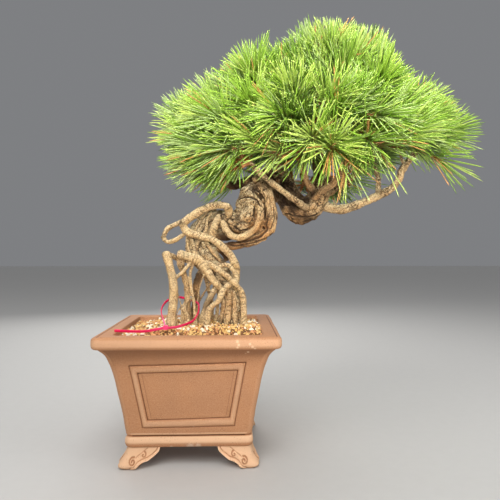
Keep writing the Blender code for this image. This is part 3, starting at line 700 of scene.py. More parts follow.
@dataclass(frozen=True)
class GritFinish(Finish):
    """Grains of baked clay or pumice, with a few shades between the grains."""

    shade: Colour = srgb(205, 145, 90)
    other: Colour = srgb(225, 175, 120)

    def wire(self, wiring: Wiring, shader: bpy.types.Node) -> None:
        """Adds the grit's nodes.

        Args:
            wiring: The material's wiring.
            shader: Its Principled BSDF.
        """
        at = wiring.coordinates()
        patch = SharedEffect.PATCHES.place(wiring, at, Scale=130.0, Low=0.35, High=0.65)
        grain = SharedEffect.GRAIN.place(wiring, at, Scale=1600.0)
        pits = SharedEffect.PORES.place(wiring, at, **{"Scale": 900.0, "Size": 0.4, "Patch Scale": 200.0})
        colour = wiring.mix(patch, self.shade, self.other)
        dark = wiring.mix(0.45, self.shade, srgb(60, 38, 22))
        colour = wiring.mix(wiring.sum("MULTIPLY", pits, 0.4), colour, dark)
        self.surface(wiring, shader, colour, wiring.span(grain, 0.3, 0.7, 0.85, 1.0), 0.2, grain, 0.5)


@dataclass(frozen=True)
class TieFinish(Finish):
    """Moulded pink plastic, paler where it is stretched at its head."""

    name: str = "pink plastic"
    body: Colour = srgb(226, 12, 82)
    stretched: Colour = srgb(250, 110, 165)

    def wire(self, wiring: Wiring, shader: bpy.types.Node) -> None:
        """Adds the plastic's nodes.

        Args:
            wiring: The material's wiring.
            shader: Its Principled BSDF.
        """
        at = wiring.coordinates()
        grain = SharedEffect.GRAIN.place(wiring, at, Scale=900.0)
        colour = wiring.mix(wiring.mark("stretch"), self.body, self.stretched)
        self.surface(wiring, shader, colour, wiring.span(grain, 0.3, 0.7, 0.28, 0.42), 0.5, grain, 0.05)
        shader.inputs["Subsurface Weight"].default_value = 0.15
        shader.inputs["Subsurface Radius"].default_value = (0.002, 0.0006, 0.001)


@dataclass(frozen=True)
class BarkFinish(Finish):
    """Bark: painted paler on faces that look up, as top light and bleaching, warm below, dark in its cracks
    and pores and in painted shade.
    """

    pale: Colour = srgb(236, 214, 168)
    body: Colour = srgb(208, 175, 120)
    warm: Colour = srgb(194, 130, 66)
    # This colours the cracks and the painted shade in crevices, slits and hollows.
    crack: Colour = srgb(62, 41, 24)
    pore: Colour = srgb(134, 94, 56)
    pore_scale: float = 420.0
    pore_size: float = 0.42
    bump: float = 0.5

    def wire(self, wiring: Wiring, shader: bpy.types.Node) -> None:
        """Adds the bark's nodes.

        Args:
            wiring: The material's wiring.
            shader: Its Principled BSDF.
        """
        at = wiring.coordinates()
        grain = SharedEffect.GRAIN.place(wiring, at, Scale=700.0)
        patch = SharedEffect.PATCHES.place(wiring, at, Scale=75.0, Low=0.32, High=0.62)
        pores = SharedEffect.PORES.place(
            wiring, at, **{"Scale": self.pore_scale, "Size": self.pore_size, "Patch Scale": 90.0}
        )
        normal = wiring.add("ShaderNodeNewGeometry", {}).outputs["Normal"]
        up = wiring.add("ShaderNodeSeparateXYZ", {0: normal}).outputs["Z"]
        # Faces that look up are painted paler as top light, as far as the paleness mark allows; that mark
        # also holds bleaching and painted crest highlight.
        top_lit_and_bleached = wiring.sum("MULTIPLY", wiring.span(up, -0.5, 0.8), wiring.mark("paleness"))
        colour = wiring.mix(wiring.span(patch, 0.0, 1.0, 0.0, 0.4), self.body, self.pale)
        colour = wiring.mix(wiring.mark("warmth"), colour, self.warm)
        colour = wiring.mix(top_lit_and_bleached, colour, self.pale)
        shaded = wiring.mix(wiring.span(grain, 0.64, 0.34, 0.0, 0.7), colour, self.pore)
        dotted = wiring.mix(wiring.sum("MULTIPLY", pores, 0.9), shaded, self.pore)
        # Cracks, and the painted shade in crevices, slits and hollows, darken the bark.
        with_cracks_and_shade = wiring.mix(wiring.mark("cavity"), dotted, self.crack)
        height = wiring.mix(0.6, grain, pores, "SUBTRACT")
        rough = wiring.span(grain, 0.3, 0.7, 0.8, 0.95)
        self.surface(wiring, shader, with_cracks_and_shade, rough, 0.25, height, self.bump)


ROOT_BARK = BarkFinish("root bark")
TRUNK_BARK = BarkFinish(
    "trunk bark",
    pale=srgb(228, 210, 168),
    body=srgb(194, 158, 106),
    warm=srgb(190, 126, 62),
    crack=srgb(46, 30, 17),
    pore=srgb(108, 76, 44),
    pore_scale=330.0,
    pore_size=0.5,
    bump=0.9,
)
BOUGH_BARK = BarkFinish(
    "bough bark",
    pale=srgb(234, 214, 168),
    body=srgb(208, 174, 122),
    warm=srgb(186, 120, 62),
    crack=srgb(54, 36, 21),
    pore=srgb(120, 84, 48),
    pore_scale=380.0,
    bump=0.6,
)
TWIG_BARK = BarkFinish(
    "twig bark",
    pale=srgb(214, 170, 116),
    body=srgb(180, 114, 60),
    warm=srgb(186, 100, 46),
    crack=srgb(66, 42, 26),
    pore=srgb(118, 72, 42),
    pore_scale=500.0,
    bump=0.4,
)


@dataclass(frozen=True)
class NeedleFinish(Finish):
    """Green needles: one base colour a spray, with a slow drift of its shade and a waxy gloss."""

    shade: Colour = srgb(120, 170, 50)
    drift: Colour = srgb(150, 190, 70)

    def wire(self, wiring: Wiring, shader: bpy.types.Node) -> None:
        """Adds the needles' nodes.

        Args:
            wiring: The material's wiring.
            shader: Its Principled BSDF.
        """
        at = wiring.coordinates()
        patch = SharedEffect.PATCHES.place(wiring, at, Scale=14.0, Low=0.3, High=0.7)
        colour = wiring.mix(wiring.span(patch, 0.0, 1.0, 0.0, 0.6), self.shade, self.drift)
        self.surface(wiring, shader, colour, wiring.span(patch, 0.0, 1.0, 0.36, 0.48), 0.5)


@dataclass(frozen=True)
class FloorFinish(Finish):
    """A plain pale studio floor."""

    name: str = "studio floor"
    shade: Colour = srgb(188, 186, 182)

    def wire(self, wiring: Wiring, shader: bpy.types.Node) -> None:
        """Adds the floor's nodes.

        Args:
            wiring: The material's wiring.
            shader: Its Principled BSDF.
        """
        grain = SharedEffect.GRAIN.place(wiring, wiring.coordinates(), Scale=60.0)
        colour = wiring.mix(wiring.span(grain, 0.3, 0.7, 0.0, 0.15), self.shade, srgb(176, 174, 170))
        self.surface(wiring, shader, colour, 0.8, 0.5)


def fan_out(knots: Sequence[float], counts: Sequence[int]) -> np.ndarray:
    """Fills each stretch between knots, which are kept, with its count of even steps."""
    places = [np.linspace(a, b, n, endpoint=False) for a, b, n in zip(knots, knots[1:], counts)]
    return np.concatenate(places + [np.array([knots[-1]])])


def smooth_through(values: Sequence[tuple[float, float]], at: np.ndarray) -> np.ndarray:
    """Reads a smooth curve through points of place and value.

    Args:
        values: The points, in order of place.
        at: Places to read.

    Returns:
        The value at each place.
    """
    places, heights = (np.array(v, float) for v in zip(*values))
    slopes = np.gradient(heights, places)
    index = np.clip(np.searchsorted(places, at) - 1, 0, len(places) - 2)
    gap = places[index + 1] - places[index]
    t = np.clip((at - places[index]) / gap, 0, 1)
    start = heights[index] * (1 + 2 * t) * (1 - t) ** 2 + heights[index + 1] * t**2 * (3 - 2 * t)
    return start + gap * (slopes[index] * t * (1 - t) ** 2 - slopes[index + 1] * t**2 * (1 - t))


@dataclass
class Pot:
    """The square bowl: flared walls with a framed panel a side, rolled rim and foot moulding."""

    rim_half: float = 115.0
    rim_top: float = 168.5
    lip: float = 22.0
    underside: float = 25.4
    floor: float = 40.0
    wall: float = 9.0
    corner: float = 8.0
    corner_steps: int = 7
    moulding_half: float = 81.2
    wall_profile: tuple = (
        (38.9, 78.9), (42.4, 79.8), (68, 83.6), (93, 88.2), (116, 92.4), (134, 97.4), (146, 102.6),
        (153, 109.0),
    )
    panel_outer: tuple = ((51.2, 57.5), (133.5, 71.6))
    panel_inner: tuple = ((61.8, 51.2), (123.5, 61.6))
    second_line: float = 4.6
    raise_by: float = 1.9
    sink_by: float = 1.0
    tilt: float = 0.025
    seam: tuple = (38.8, 40.4)
    lower_step: tuple = (41, 43.5)
    wall_end: float = 152.6
    bow: float = 0.5
    unevenness: float = 0.45
    side_steps: tuple = (9, 1, 1, 2, 1, 1, 1, 1, 6, 1, 1, 1, 1, 7)

    def half_at(self, height: np.ndarray) -> np.ndarray:
        """Half width of the wall's outer face at each height."""
        return smooth_through(self.wall_profile, height)

    def panel_half(self, outline: tuple, height: np.ndarray) -> np.ndarray:
        """Half width of a panel outline at each height, run on straight past its ends."""
        (low, low_half), (high, high_half) = outline
        return low_half + (height - low) * (high_half - low_half) / (high - low)

    def rows(self) -> np.ndarray:
        """Half width and height of each ring, from the underside over the rim to the hollow's floor.

        Returns:
            One row a ring.
        """
        edge = self.rim_half
        top = self.rim_top
        foot = [(self.moulding_half - 5, self.underside)]
        for turn in np.linspace(-1.35, 1.35, 13):
            lift = 6.5 * math.sin(turn) / 0.976
            foot.append((self.moulding_half - 2.6 * (1 - math.cos(turn)), 32.0 + lift))
        foot += [(78.0, 39.3), (78.3, 40.2), (79.8, 41.2), (80.1, 42.2)]
        marks = [43, 50.2, 51.2, 52.2, 60.8, 61.8, 62.8, 122.5, 123.5, 124.5, 132.5, 133.5, 134.5, 147, 153]
        heights = fan_out(marks, (5, 1, 1, 8, 1, 1, 26, 1, 1, 8, 1, 1, 6, 5))
        walls = list(zip(self.half_at(heights), heights))
        rim = [(edge - 3.6, 153.7), (edge - 2.2, 154.2), (edge - 1.1, 155.2), (edge - 0.4, 156.8)]
        rim += [(edge, 158.8), (edge, 161.6), (edge, 164.2), (edge - 0.3, 165.7), (edge - 1.0, 167.0)]
        rim += [(edge - 2.1, top - 0.6), (edge - 3.4, top - 0.1), (edge - 4.3, top - 0.6)]
        rim += [(edge - 5.5, top - 1.2), (edge - 6.7, top - 0.6), (edge - 7.6, top)]
        rim += [(edge - wide, top) for wide in (9, 12, 15, 18, 20)]
        rim += [(edge - self.lip + 0.6, top - 0.2), (edge - self.lip, top - 1.0), (edge - self.lip, 160)]
        hollow = [(min(self.half_at(np.array(h)) - self.wall, edge - self.lip), h) for h in (150, 120, 93)]
        hollow.append((70.0, self.floor))
        return np.array(foot + walls + rim + hollow, float)

    def side_places(self, straight: np.ndarray, height: np.ndarray) -> np.ndarray:
        """Where the columns of one side stand at each ring, from its left end to its right one.

        Args:
            straight: Half length of the straight stretch at each ring.
            height: Height of each ring.

        Returns:
            Places along the side, by ring and column.
        """
        outer = self.panel_half(self.panel_outer, height)
        inner = self.panel_half(self.panel_inner, height)
        lines = []
        for out, within, reach in zip(outer, inner, straight):
            second = within - self.second_line
            knots = [0, second - 0.8, second, second + 0.8]
            knots += [within - 1.3, within - 0.6, within, within + 0.6, within + 1.3]
            knots += [out - 1.3, out - 0.6, out, out + 0.6, out + 1.3, reach]
            half = fan_out(knots, self.side_steps)
            lines.append(np.concatenate([-half[:0:-1], half]))
        return np.array(lines)

    def relief(self, along: np.ndarray, height: np.ndarray) -> tuple[np.ndarray, np.ndarray]:
        """How far a wall's face stands out round its framed panel, and where it is painted lighter as
        highlight and darker as shade.

        Args:
            along: Places along the side.
            height: Heights of the same points.

        Returns:
            The relief in mm, and a mark from -1, painted shade in a groove, to 1, painted highlight on a
            crest.
        """
        away = np.abs(along)
        outer = self.panel_half(self.panel_outer, height) - away
        inner = self.panel_half(self.panel_inner, height) - away
        (low, _), (high, _) = self.panel_outer
        (inner_low, _), (inner_high, _) = self.panel_inner
        outer = np.minimum(outer, np.minimum(height - low, high - height))
        inside = np.minimum(inner, np.minimum(height - inner_low, inner_high - height))
        across = np.clip(outer / np.maximum(outer - inside, 0.1), 0, 1)
        band = np.where((outer > 0) & (inside < 0), np.sin(np.pi * across) ** 0.55, 0)
        field_depth = -self.sink_by * ease(inside, 0.2, 1.6)
        grooves = 0.75 * line_mark(outer, 0.7) + 0.95 * line_mark(inside, 0.7)
        second = line_mark(inner - self.second_line, 0.55) * ease(inside, 1.5, 3.5)
        lower_step = line_mark(height - 41.7, 0.8)
        depth = self.raise_by * band + field_depth - grooves - 0.4 * second
        # The mark paints the raised band lighter as highlight, the grooves and the second line darker as
        # shade, and the lower step lighter as highlight.
        mark = 0.45 * band - 1.0 * np.clip(grooves, 0, 1) - 0.5 * second + 0.4 * lower_step
        return depth, np.clip(mark, -1, 1)

    def shape(self) -> tuple[Shape, np.ndarray]:
        """Builds the bowl ring by ring.

        Returns:
            The closed shape, and its mark of painted highlight and shade at each point.
        """
        wide, height = self.rows().T[:, :, None]
        outside = np.arange(len(height))[:, None] <= int(np.argmax(height >= self.rim_top - 0.7))
        straight = wide - self.corner
        along = self.side_places(straight[:, 0], height[:, 0])
        tall = np.broadcast_to(height, along.shape)
        depth, mark = self.relief(along, tall)
        on_wall = (height > self.seam[1]) & (height < self.wall_end) & outside
        depth = np.where(on_wall, depth, 0)
        mark = np.where(on_wall, mark, 0)
        # The rim's top groove and the seam are painted dark as shade, and the step above the seam painted
        # light as highlight.
        groove = np.isclose(wide, self.rim_half - 5.5) & (height > 160)
        seam = (height > self.seam[0]) & (height < self.seam[1]) & outside
        mark = np.where(groove | seam, -0.9, mark)
        step = (height > self.lower_step[0]) & (height < self.lower_step[1]) & outside
        mark = np.where(step, 0.5, mark)
        # Painted shadow under the rim, and painted light on the foot moulding and on the rim's front face.
        shade = -0.55 * ease(height, 120, 150) * (height < 153.5)
        shade += 0.85 * ease(height, 28, 33) * ease(height, 39.2, 37.6)
        shade += 0.45 * ease(height, 155, 158) * ease(height, 167.5, 165)
        shade = shade * outside
        slope = self.tilt * ease(height, 46, 56) * ease(height, 152, 138)
        bow = self.bow * np.cos(np.pi * along / (2 * straight)) * on_wall
        turns = np.linspace(0, np.pi / 2, self.corner_steps + 1)[1:-1]
        arc_x = straight + self.corner * np.sin(turns)
        arc_y = -(straight + self.corner * np.cos(turns))
        corner = np.stack([arc_x, arc_y, np.broadcast_to(height, arc_x.shape)], axis=-1)
        # The rounded corners are painted lighter as highlight, with the same painted light and shade by
        # height.
        corner_painted_light = np.broadcast_to(0.25 * on_wall + shade, arc_x.shape)
        rings = []
        for side in range(4):
            spots = np.stack([along, tall, np.full(along.shape, side * 50.0)], axis=-1)
            wave = soft_noise(spots.reshape(-1, 3), 34.0, 3).reshape(along.shape)
            out = wide + depth + bow + self.unevenness * wave * outside
            lift = height + slope * along * (1 if side in (0, 2) else -0.4)
            face = np.stack([along, -out, lift], axis=-1)
            rings.append(quarter_turned(np.concatenate([face, corner], axis=1), side))
        marks = np.concatenate([mark + shade, corner_painted_light] * 4, axis=1)
        return skin(np.concatenate(rings, axis=1)), marks.ravel()

    def make(self) -> None:
        """Makes the pot and dresses it."""
        shape, relief = self.shape()
        pot = add_piece("clay_pot", shape, ClayFinish().make(), {"relief": relief}, sharp=50)
        hand_over(pot, "clay", ["pot"])


@dataclass
class Feet:
    """Four scrolled brackets under the corners, each with a raised border, a volute and a leaf."""

    top: float = 25.2
    wall: float = 14.0
    corner: float = 8.0
    tip: float = 36.0
    flare: tuple = ((0, 84.6), (1.6, 87.2), (4, 88.4), (8, 86.0), (14, 81.8), (25.2, 78.4))
    arch: tuple = (
        (36, 24.6), (38, 20.0), (43.5, 15.2), (50, 10.8), (57, 8.9), (61.5, 6.6), (64, 3.4), (66.5, 1.2),
        (69.5, 0), (120, 0),
    )
    border: float = 2.2
    volute: tuple = (69.5, 9.6)
    leaf: tuple = (56.5, 16.5)
    rows: int = 34
    wing_columns: int = 60
    corner_columns: int = 8

    def lower_edge(self, along: np.ndarray) -> np.ndarray:
        """Height of the arch over the table at each distance from the pot's middle."""
        places, heights = zip(*self.arch)
        return np.interp(along, places, heights)

    def curl(self, centre: tuple, size: float, turns: float, hand: int) -> np.ndarray:
        """Points along a spiral that winds into a centre.

        Args:
            centre: Its middle, as distance from the pot's middle and height.
            size: Its largest radius.
            turns: How often it winds round.
            hand: 1 or -1, the way that it winds.

        Returns:
            Points of distance and height.
        """
        turn = np.linspace(0, 2 * np.pi * turns, 60)
        radius = size * (1 - 0.82 * turn / turn[-1])
        angle = 0.6 * np.pi + hand * turn
        return np.stack([centre[0] + radius * np.cos(angle), centre[1] + radius * np.sin(angle)], axis=-1)

    def relief(self, along: np.ndarray, height: np.ndarray) -> tuple[np.ndarray, np.ndarray]:
        """How far a wing's face stands out, and where it is painted lighter as highlight and darker as shade.

        Args:
            along: Distances from the pot's middle.
            height: Heights of the same points.

        Returns:
            The relief in mm, and a mark from -1, painted shade in a groove, to 1, painted highlight on a
            crest.
        """
        flat = np.stack([along.ravel(), height.ravel()], axis=-1)

        def away(line: np.ndarray) -> np.ndarray:
            """Distance of each point from a line of points."""
            apart = np.linalg.norm(flat[:, None] - line[None], axis=2).min(axis=1)
            return apart.reshape(along.shape)

        places = np.linspace(self.tip, 70, 120)
        edge = away(np.stack([places, self.lower_edge(places)], axis=-1))
        volute = away(self.curl(self.volute, 4.6, 1.35, -1))
        leaf = away(self.curl(self.leaf, 3.4, 0.9, 1))
        stem = np.linspace(0, 1, 40)[:, None]
        stalk = away(np.array([[52.0, 24.0]]) * (1 - stem) + np.array([[66.0, 13.5]]) * stem)
        hill = 2.2 * ease(np.hypot(along - self.volute[0], height - self.volute[1]), 7.0, 3.0)
        hill += 1.8 * ease(np.hypot(along - self.leaf[0], (height - self.leaf[1]) * 1.4), 6.0, 2.0)
        rim = 1.2 * ease(edge, self.border + 0.9, self.border - 0.9)
        grooves = 2.2 * line_mark(volute, 0.9) + 1.7 * line_mark(leaf, 0.8) + 0.9 * line_mark(stalk, 0.6)
        grooves += 0.9 * line_mark(edge - self.border - 1.0, 0.6)
        # The whole face is painted light, as light on the flared feet, with painted highlight on the hills
        # and border and painted shade in the grooves.
        mark = 0.85 + 0.15 * hill + 0.15 * rim - 0.8 * grooves
        return hill + rim - grooves, np.clip(mark, -1, 1)

    def wing(self, shares: np.ndarray, inset: float, corner: float) -> np.ndarray:
        """Points of one wing's sheet, before it is turned to its side.

        Args:
            shares: Share of the way up at each row.
            inset: How far the sheet lies inside the outer face.
            corner: Radius of its corner.

        Returns:
            Distance, half width and height, by row and column.
        """
        steps = np.linspace(0, 1, self.wing_columns)[None, :]
        height = np.broadcast_to(shares[:, None] * self.top, (len(shares), self.wing_columns))
        for _ in range(6):
            reach = smooth_through(self.flare, height) - self.corner
            along = self.tip + (reach - self.tip) * steps
            low = self.lower_edge(along)
            height = low + shares[:, None] * (self.top - low)
        half = smooth_through(self.flare, height)
        reach = half - inset - corner
        along = self.tip + (reach - self.tip) * steps
        return np.stack([along, half - inset, height], axis=-1)

    def sheet(self, inset: float, corner: float, with_relief: bool) -> tuple[np.ndarray, np.ndarray]:
        """One face of a foot, from the tip of one wing round the corner to the tip of the other.

        Args:
            inset: How far it lies inside the outer face.
            corner: Radius of its corner.
            with_relief: Whether it carries the scrolls.

        Returns:
            Points by row and column, and their marks of painted highlight and shade.
        """
        shares = np.linspace(0, 1, self.rows)
        grid = self.wing(shares, inset, corner)
        along, half, height = grid[..., 0], grid[..., 1], grid[..., 2]
        depth, mark = self.relief(along, height) if with_relief else (0 * along, 0 * along)
        first = np.stack([-along, -(half + depth), height], axis=-1)
        second = np.stack([-(half + depth), -along, height], axis=-1)[:, ::-1]
        centre = half[:, -1:] - corner
        turns = np.linspace(0, np.pi / 2, self.corner_columns + 2)[1:-1]
        bulge = corner + depth[:, -1:]
        arc_x = -(centre + bulge * np.sin(turns))
        arc_y = -(centre + bulge * np.cos(turns))
        arc = np.stack([arc_x, arc_y, np.broadcast_to(height[:, -1:], arc_x.shape)], axis=-1)
        # The corner is painted light, as highlight.
        marks = [mark, np.full(arc.shape[:2], 0.9), mark[:, ::-1]]
        return np.concatenate([first, arc, second], axis=1), np.concatenate(marks, axis=1)

    def shape(self) -> tuple[Shape, np.ndarray]:
        """Builds one foot, the one at the left of the front.

        Returns:
            The closed shape, and its mark of painted highlight and shade at each point.
        """
        outer, outer_mark = self.sheet(0.0, self.corner, True)
        inner, inner_mark = self.sheet(self.wall, 2.0, False)
        rings = np.concatenate([outer, inner[::-1]], axis=0).transpose(1, 0, 2)
        marks = np.concatenate([outer_mark, inner_mark[::-1]], axis=0).T
        wobble = 0.25 * soft_noise(rings.reshape(-1, 3), 9.0, 5).reshape(rings.shape[:2])
        rings[..., :2] += wobble[..., None]
        return skin(rings), marks.ravel()

    def make(self) -> None:
        """Makes the four feet and dresses them."""
        shape, mark = self.shape()
        names = ("foot_front_left", "foot_front_right", "foot_back_right", "foot_back_left")
        for turn, node in enumerate(names):
            turned = Shape(quarter_turned(shape.points, turn), shape.faces)
            foot = add_piece("scrolled_" + node, turned, ClayFinish().make(), {"relief": mark}, sharp=60)
            hand_over(foot, "clay", [node])


class GrainTree:
    """A Geometry Nodes tree that strews grains over a surface and keeps one kind of them."""

    inputs = {
        "Grains": "Collection", "Spacing": "Float", "Density": "Float", "Smallest": "Float",
        "Largest": "Float", "Kind From": "Float", "Kind To": "Float", "Seed": "Int", "Finish": "Material",
    }

    def __init__(self) -> None:
        """Builds the tree."""
        self.tree = bpy.data.node_groups.new("strewn grains", "GeometryNodeTree")
        face = self.tree.interface
        face.new_socket("Geometry", in_out="INPUT", socket_type="NodeSocketGeometry")
        self.sockets = {
            name: face.new_socket(name, in_out="INPUT", socket_type="NodeSocket" + kind).identifier
            for name, kind in self.inputs.items()
        }
        face.new_socket("Geometry", in_out="OUTPUT", socket_type="NodeSocketGeometry")
        wiring = Wiring(self.tree)
        given = self.tree.nodes.new("NodeGroupInput").outputs
        points = wiring.add(
            "GeometryNodeDistributePointsOnFaces",
            {
                "Mesh": given["Geometry"],
                "Distance Min": given["Spacing"],
                "Density Max": given["Density"],
                "Seed": given["Seed"],
            },
            distribute_method="POISSON",
        )
        kind = self.random(wiring, "FLOAT", given["Seed"], 0.0, 1.0, 1)
        low = wiring.add("FunctionNodeCompare", {0: kind, 1: given["Kind From"]}, operation="LESS_THAN")
        high = wiring.add("FunctionNodeCompare", {0: kind, 1: given["Kind To"]}, operation="GREATER_EQUAL")
        other = wiring.add(
            "FunctionNodeBooleanMath", {0: low.outputs[0], 1: high.outputs[0]}, operation="OR"
        )
        kept = wiring.add(
            "GeometryNodeDeleteGeometry",
            {"Geometry": points.outputs["Points"], "Selection": other.outputs[0]},
            domain="POINT",
        )
        shapes = wiring.add(
            "GeometryNodeCollectionInfo",
            {"Collection": given["Grains"], "Separate Children": True, "Reset Children": True},
        )
        turn = self.random(wiring, "FLOAT_VECTOR", given["Seed"], (0.0,) * 3, (math.tau,) * 3, 2)
        size = self.random(wiring, "FLOAT", given["Seed"], given["Smallest"], given["Largest"], 3)
        placed = wiring.add(
            "GeometryNodeInstanceOnPoints",
            {
                "Points": kept.outputs[0],
                "Instance": shapes.outputs[0],
                "Pick Instance": True,
                "Rotation": turn,
                "Scale": size,
            },
        )
        real = wiring.add("GeometryNodeRealizeInstances", {"Geometry": placed.outputs[0]})
        dressed = wiring.add(
            "GeometryNodeSetMaterial", {"Geometry": real.outputs[0], "Material": given["Finish"]}
        )
        wiring.add("NodeGroupOutput", {"Geometry": dressed.outputs[0]})

    @staticmethod
    def random(
        wiring: Wiring, kind: str, seed: object, low: object, high: object, offset: int
    ) -> Socket:
        """Adds random values of a kind, with a seed of their own.

        Args:
            wiring: The tree's wiring.
            kind: Data type of the values.
            seed: Socket of the tree's seed.
            low: Least value.
            high: Greatest value.
            offset: Added to the seed.

        Returns:
            The socket of the values.
        """
        own = wiring.sum("ADD", seed, float(offset), clamp=False)
        first = 0 if kind == "FLOAT_VECTOR" else 2
        sockets = {first: low, first + 1: high, "Seed": own}
        node = wiring.add("FunctionNodeRandomValue", sockets, data_type=kind)
        return node.outputs[0 if kind == "FLOAT_VECTOR" else 1]

    def strew(self, base: bpy.types.Object, name: str, values: dict[str, object]) -> bpy.types.Object:
        """Strews one kind of grain over a copy of a base.

        Args:
            base: The object whose faces the grains lie on.
            name: Name of the new piece.
            values: The tree's inputs, by name.

        Returns:
            The grains as a plain mesh object.
        """
        obj = bpy.data.objects.new(name, base.data.copy())
        bpy.context.scene.collection.objects.link(obj)
        modifier = obj.modifiers.new("grains", "NODES")
        modifier.node_group = self.tree
        for key, value in values.items():
            modifier[self.sockets[key]] = value
        apply_modifiers(obj)
        obj.data.shade_flat()
        return obj


@dataclass
class Soil:
    """The mounded grit: a bed painted dark, as shade between the grains, with baked clay and pumice grains
    strewn over it.
    """

    half: float = 92.4
    edge: float = 160.6
    top: float = 168.6
    level_x: tuple = (-50, 83)
    level_y: tuple = (-52, 48)
    bottom: float = 110.0
    steps: int = 46
    grain_shapes: int = 7
    seed: int = 21
    kinds: tuple = (
        ("gold_grit", srgb(212, 168, 100), srgb(236, 200, 134), 0.0, 0.48, 7.8),
        ("tan_grit", srgb(194, 130, 82), srgb(218, 162, 112), 0.48, 0.76, 7.2),
        ("pale_pumice", srgb(240, 226, 192), srgb(252, 246, 230), 0.76, 0.89, 9.8),
        ("dark_grit", srgb(124, 88, 58), srgb(160, 118, 80), 0.89, 1.0, 6.6),
    )

    def height(self, x: np.ndarray, y: np.ndarray) -> np.ndarray:
        """Height of the bed, mounded round the roots.

        Args:
            x: Places to the right of the pot's middle.
            y: Places behind it.

        Returns:
            The heights.
        """
        out_x = np.maximum(self.level_x[0] - x, x - self.level_x[1]) / 30
        out_y = np.maximum(self.level_y[0] - y, y - self.level_y[1]) / 30
        fall = ease(np.maximum(out_x, out_y), 1.2, -0.2)
        flat = np.stack([x.ravel(), y.ravel(), 0 * x.ravel()], axis=-1)
        bumps = soft_noise(flat, 24.0, 9) + 0.5 * soft_noise(flat, 9.0, 10)
        return self.edge + (self.top - self.edge) * fall + 0.7 * bumps.reshape(x.shape)

    def bed_shape(self) -> Shape:
        """Builds the closed bed.

        Returns:
            Its shape, a block with a mounded top.
        """
        line = np.linspace(-self.half, self.half, self.steps)
        x, y = np.meshgrid(line, line, indexing="ij")
        top = np.stack([x, y, self.height(x, y)], axis=-1).reshape(-1, 3)
        low = np.stack([x * 0.93, y * 0.93, 0 * x + self.bottom], axis=-1).reshape(-1, 3)
        numbers = np.arange(self.steps**2).reshape(self.steps, self.steps)
        quads = np.stack([numbers[:-1, :-1], numbers[1:, :-1], numbers[1:, 1:], numbers[:-1, 1:]], axis=-1)
        quads = quads.reshape(-1, 4)
        border = np.concatenate([numbers[:-1, 0], numbers[-1, :-1], numbers[:0:-1, -1], numbers[0, :0:-1]])
        ahead = np.roll(border, -1)
        shift = self.steps**2
        walls = np.stack([border, border + shift, ahead + shift, ahead], axis=-1)
        faces = [np.concatenate([quads, quads[:, ::-1] + shift, walls])]
        return Shape(np.concatenate([top, low]), faces).facing_out()

    def grain_templates(self, random: Random) -> bpy.types.Collection:
        """Makes a few chipped grains about 1 mm across, each the hull of some points.

        Args:
            random: Source of random numbers.

        Returns:
            A collection of them.
        """
        group = bpy.data.collections.new("grain templates")
        for number in range(self.grain_shapes):
            spots = unit(random.normal(size=(18, 3)))
            spots = spots * (0.5, random.uniform(0.34, 0.46), random.uniform(0.26, 0.4))
            shape = bmesh.new()
            for spot in spots:
                shape.verts.new(spot * MM)
            hull = bmesh.ops.convex_hull(shape, input=shape.verts)
            bmesh.ops.delete(shape, geom=hull["geom_unused"], context="VERTS")
            bmesh.ops.recalc_face_normals(shape, faces=shape.faces)
            mesh = bpy.data.meshes.new(f"grain_{number}")
            shape.to_mesh(mesh)
            shape.free()
            group.objects.link(bpy.data.objects.new(f"grain_{number}", mesh))
        return group

    def make(self) -> None:
        """Makes the bed and strews the four kinds of grain on it."""
        # The bed is painted dark, as the shade between and under the grains.
        bed_finish = GritFinish("shaded grit", srgb(104, 68, 40), srgb(134, 90, 54))
        bed = add_piece("grit_bed", self.bed_shape(), bed_finish.make(), sharp=50)
        random = Random(self.seed)
        templates = self.grain_templates(random)
        tree = GrainTree()
        top = self.surface_only(bed)
        for name, shade, other, start, end, largest in self.kinds:
            finish = GritFinish(name.replace("_", " "), shade, other).make()
            values = {
                "Grains": templates,
                "Spacing": 0.0035,
                "Density": 150000.0,
                "Smallest": 3.4,
                "Largest": largest,
                "Kind From": start,
                "Kind To": end,
                "Seed": self.seed,
                "Finish": finish,
            }
            grains = tree.strew(top, name, values)
            hand_over(grains, "grit", ["soil"])
        drop(top)
        for obj in list(templates.objects):
            drop(obj)
        bpy.data.collections.remove(templates)
        hand_over(bed, "grit", ["soil"])

    def surface_only(self, bed: bpy.types.Object) -> bpy.types.Object:
        """Copies the bed's upper faces, kept off the pot's rim.

        Args:
            bed: The whole bed.

        Returns:
            A temporary object with those faces.
        """
        obj = bpy.data.objects.new("grit top", bed.data.copy())
        bpy.context.scene.collection.objects.link(obj)
        shape = bmesh.new()
        shape.from_mesh(obj.data)
        reach = (self.half - 1.5) * MM
        middle = POT_MIDDLE * MM
        spare = []
        for face in shape.faces:
            place = face.calc_center_median()
            beside = max(abs(place.x - middle[0]), abs(place.y - middle[1])) > reach
            if beside or face.normal.z < 0.3:
                spare.append(face)
        bmesh.ops.delete(shape, geom=spare, context="FACES")
        shape.to_mesh(obj.data)
        shape.free()
        return obj


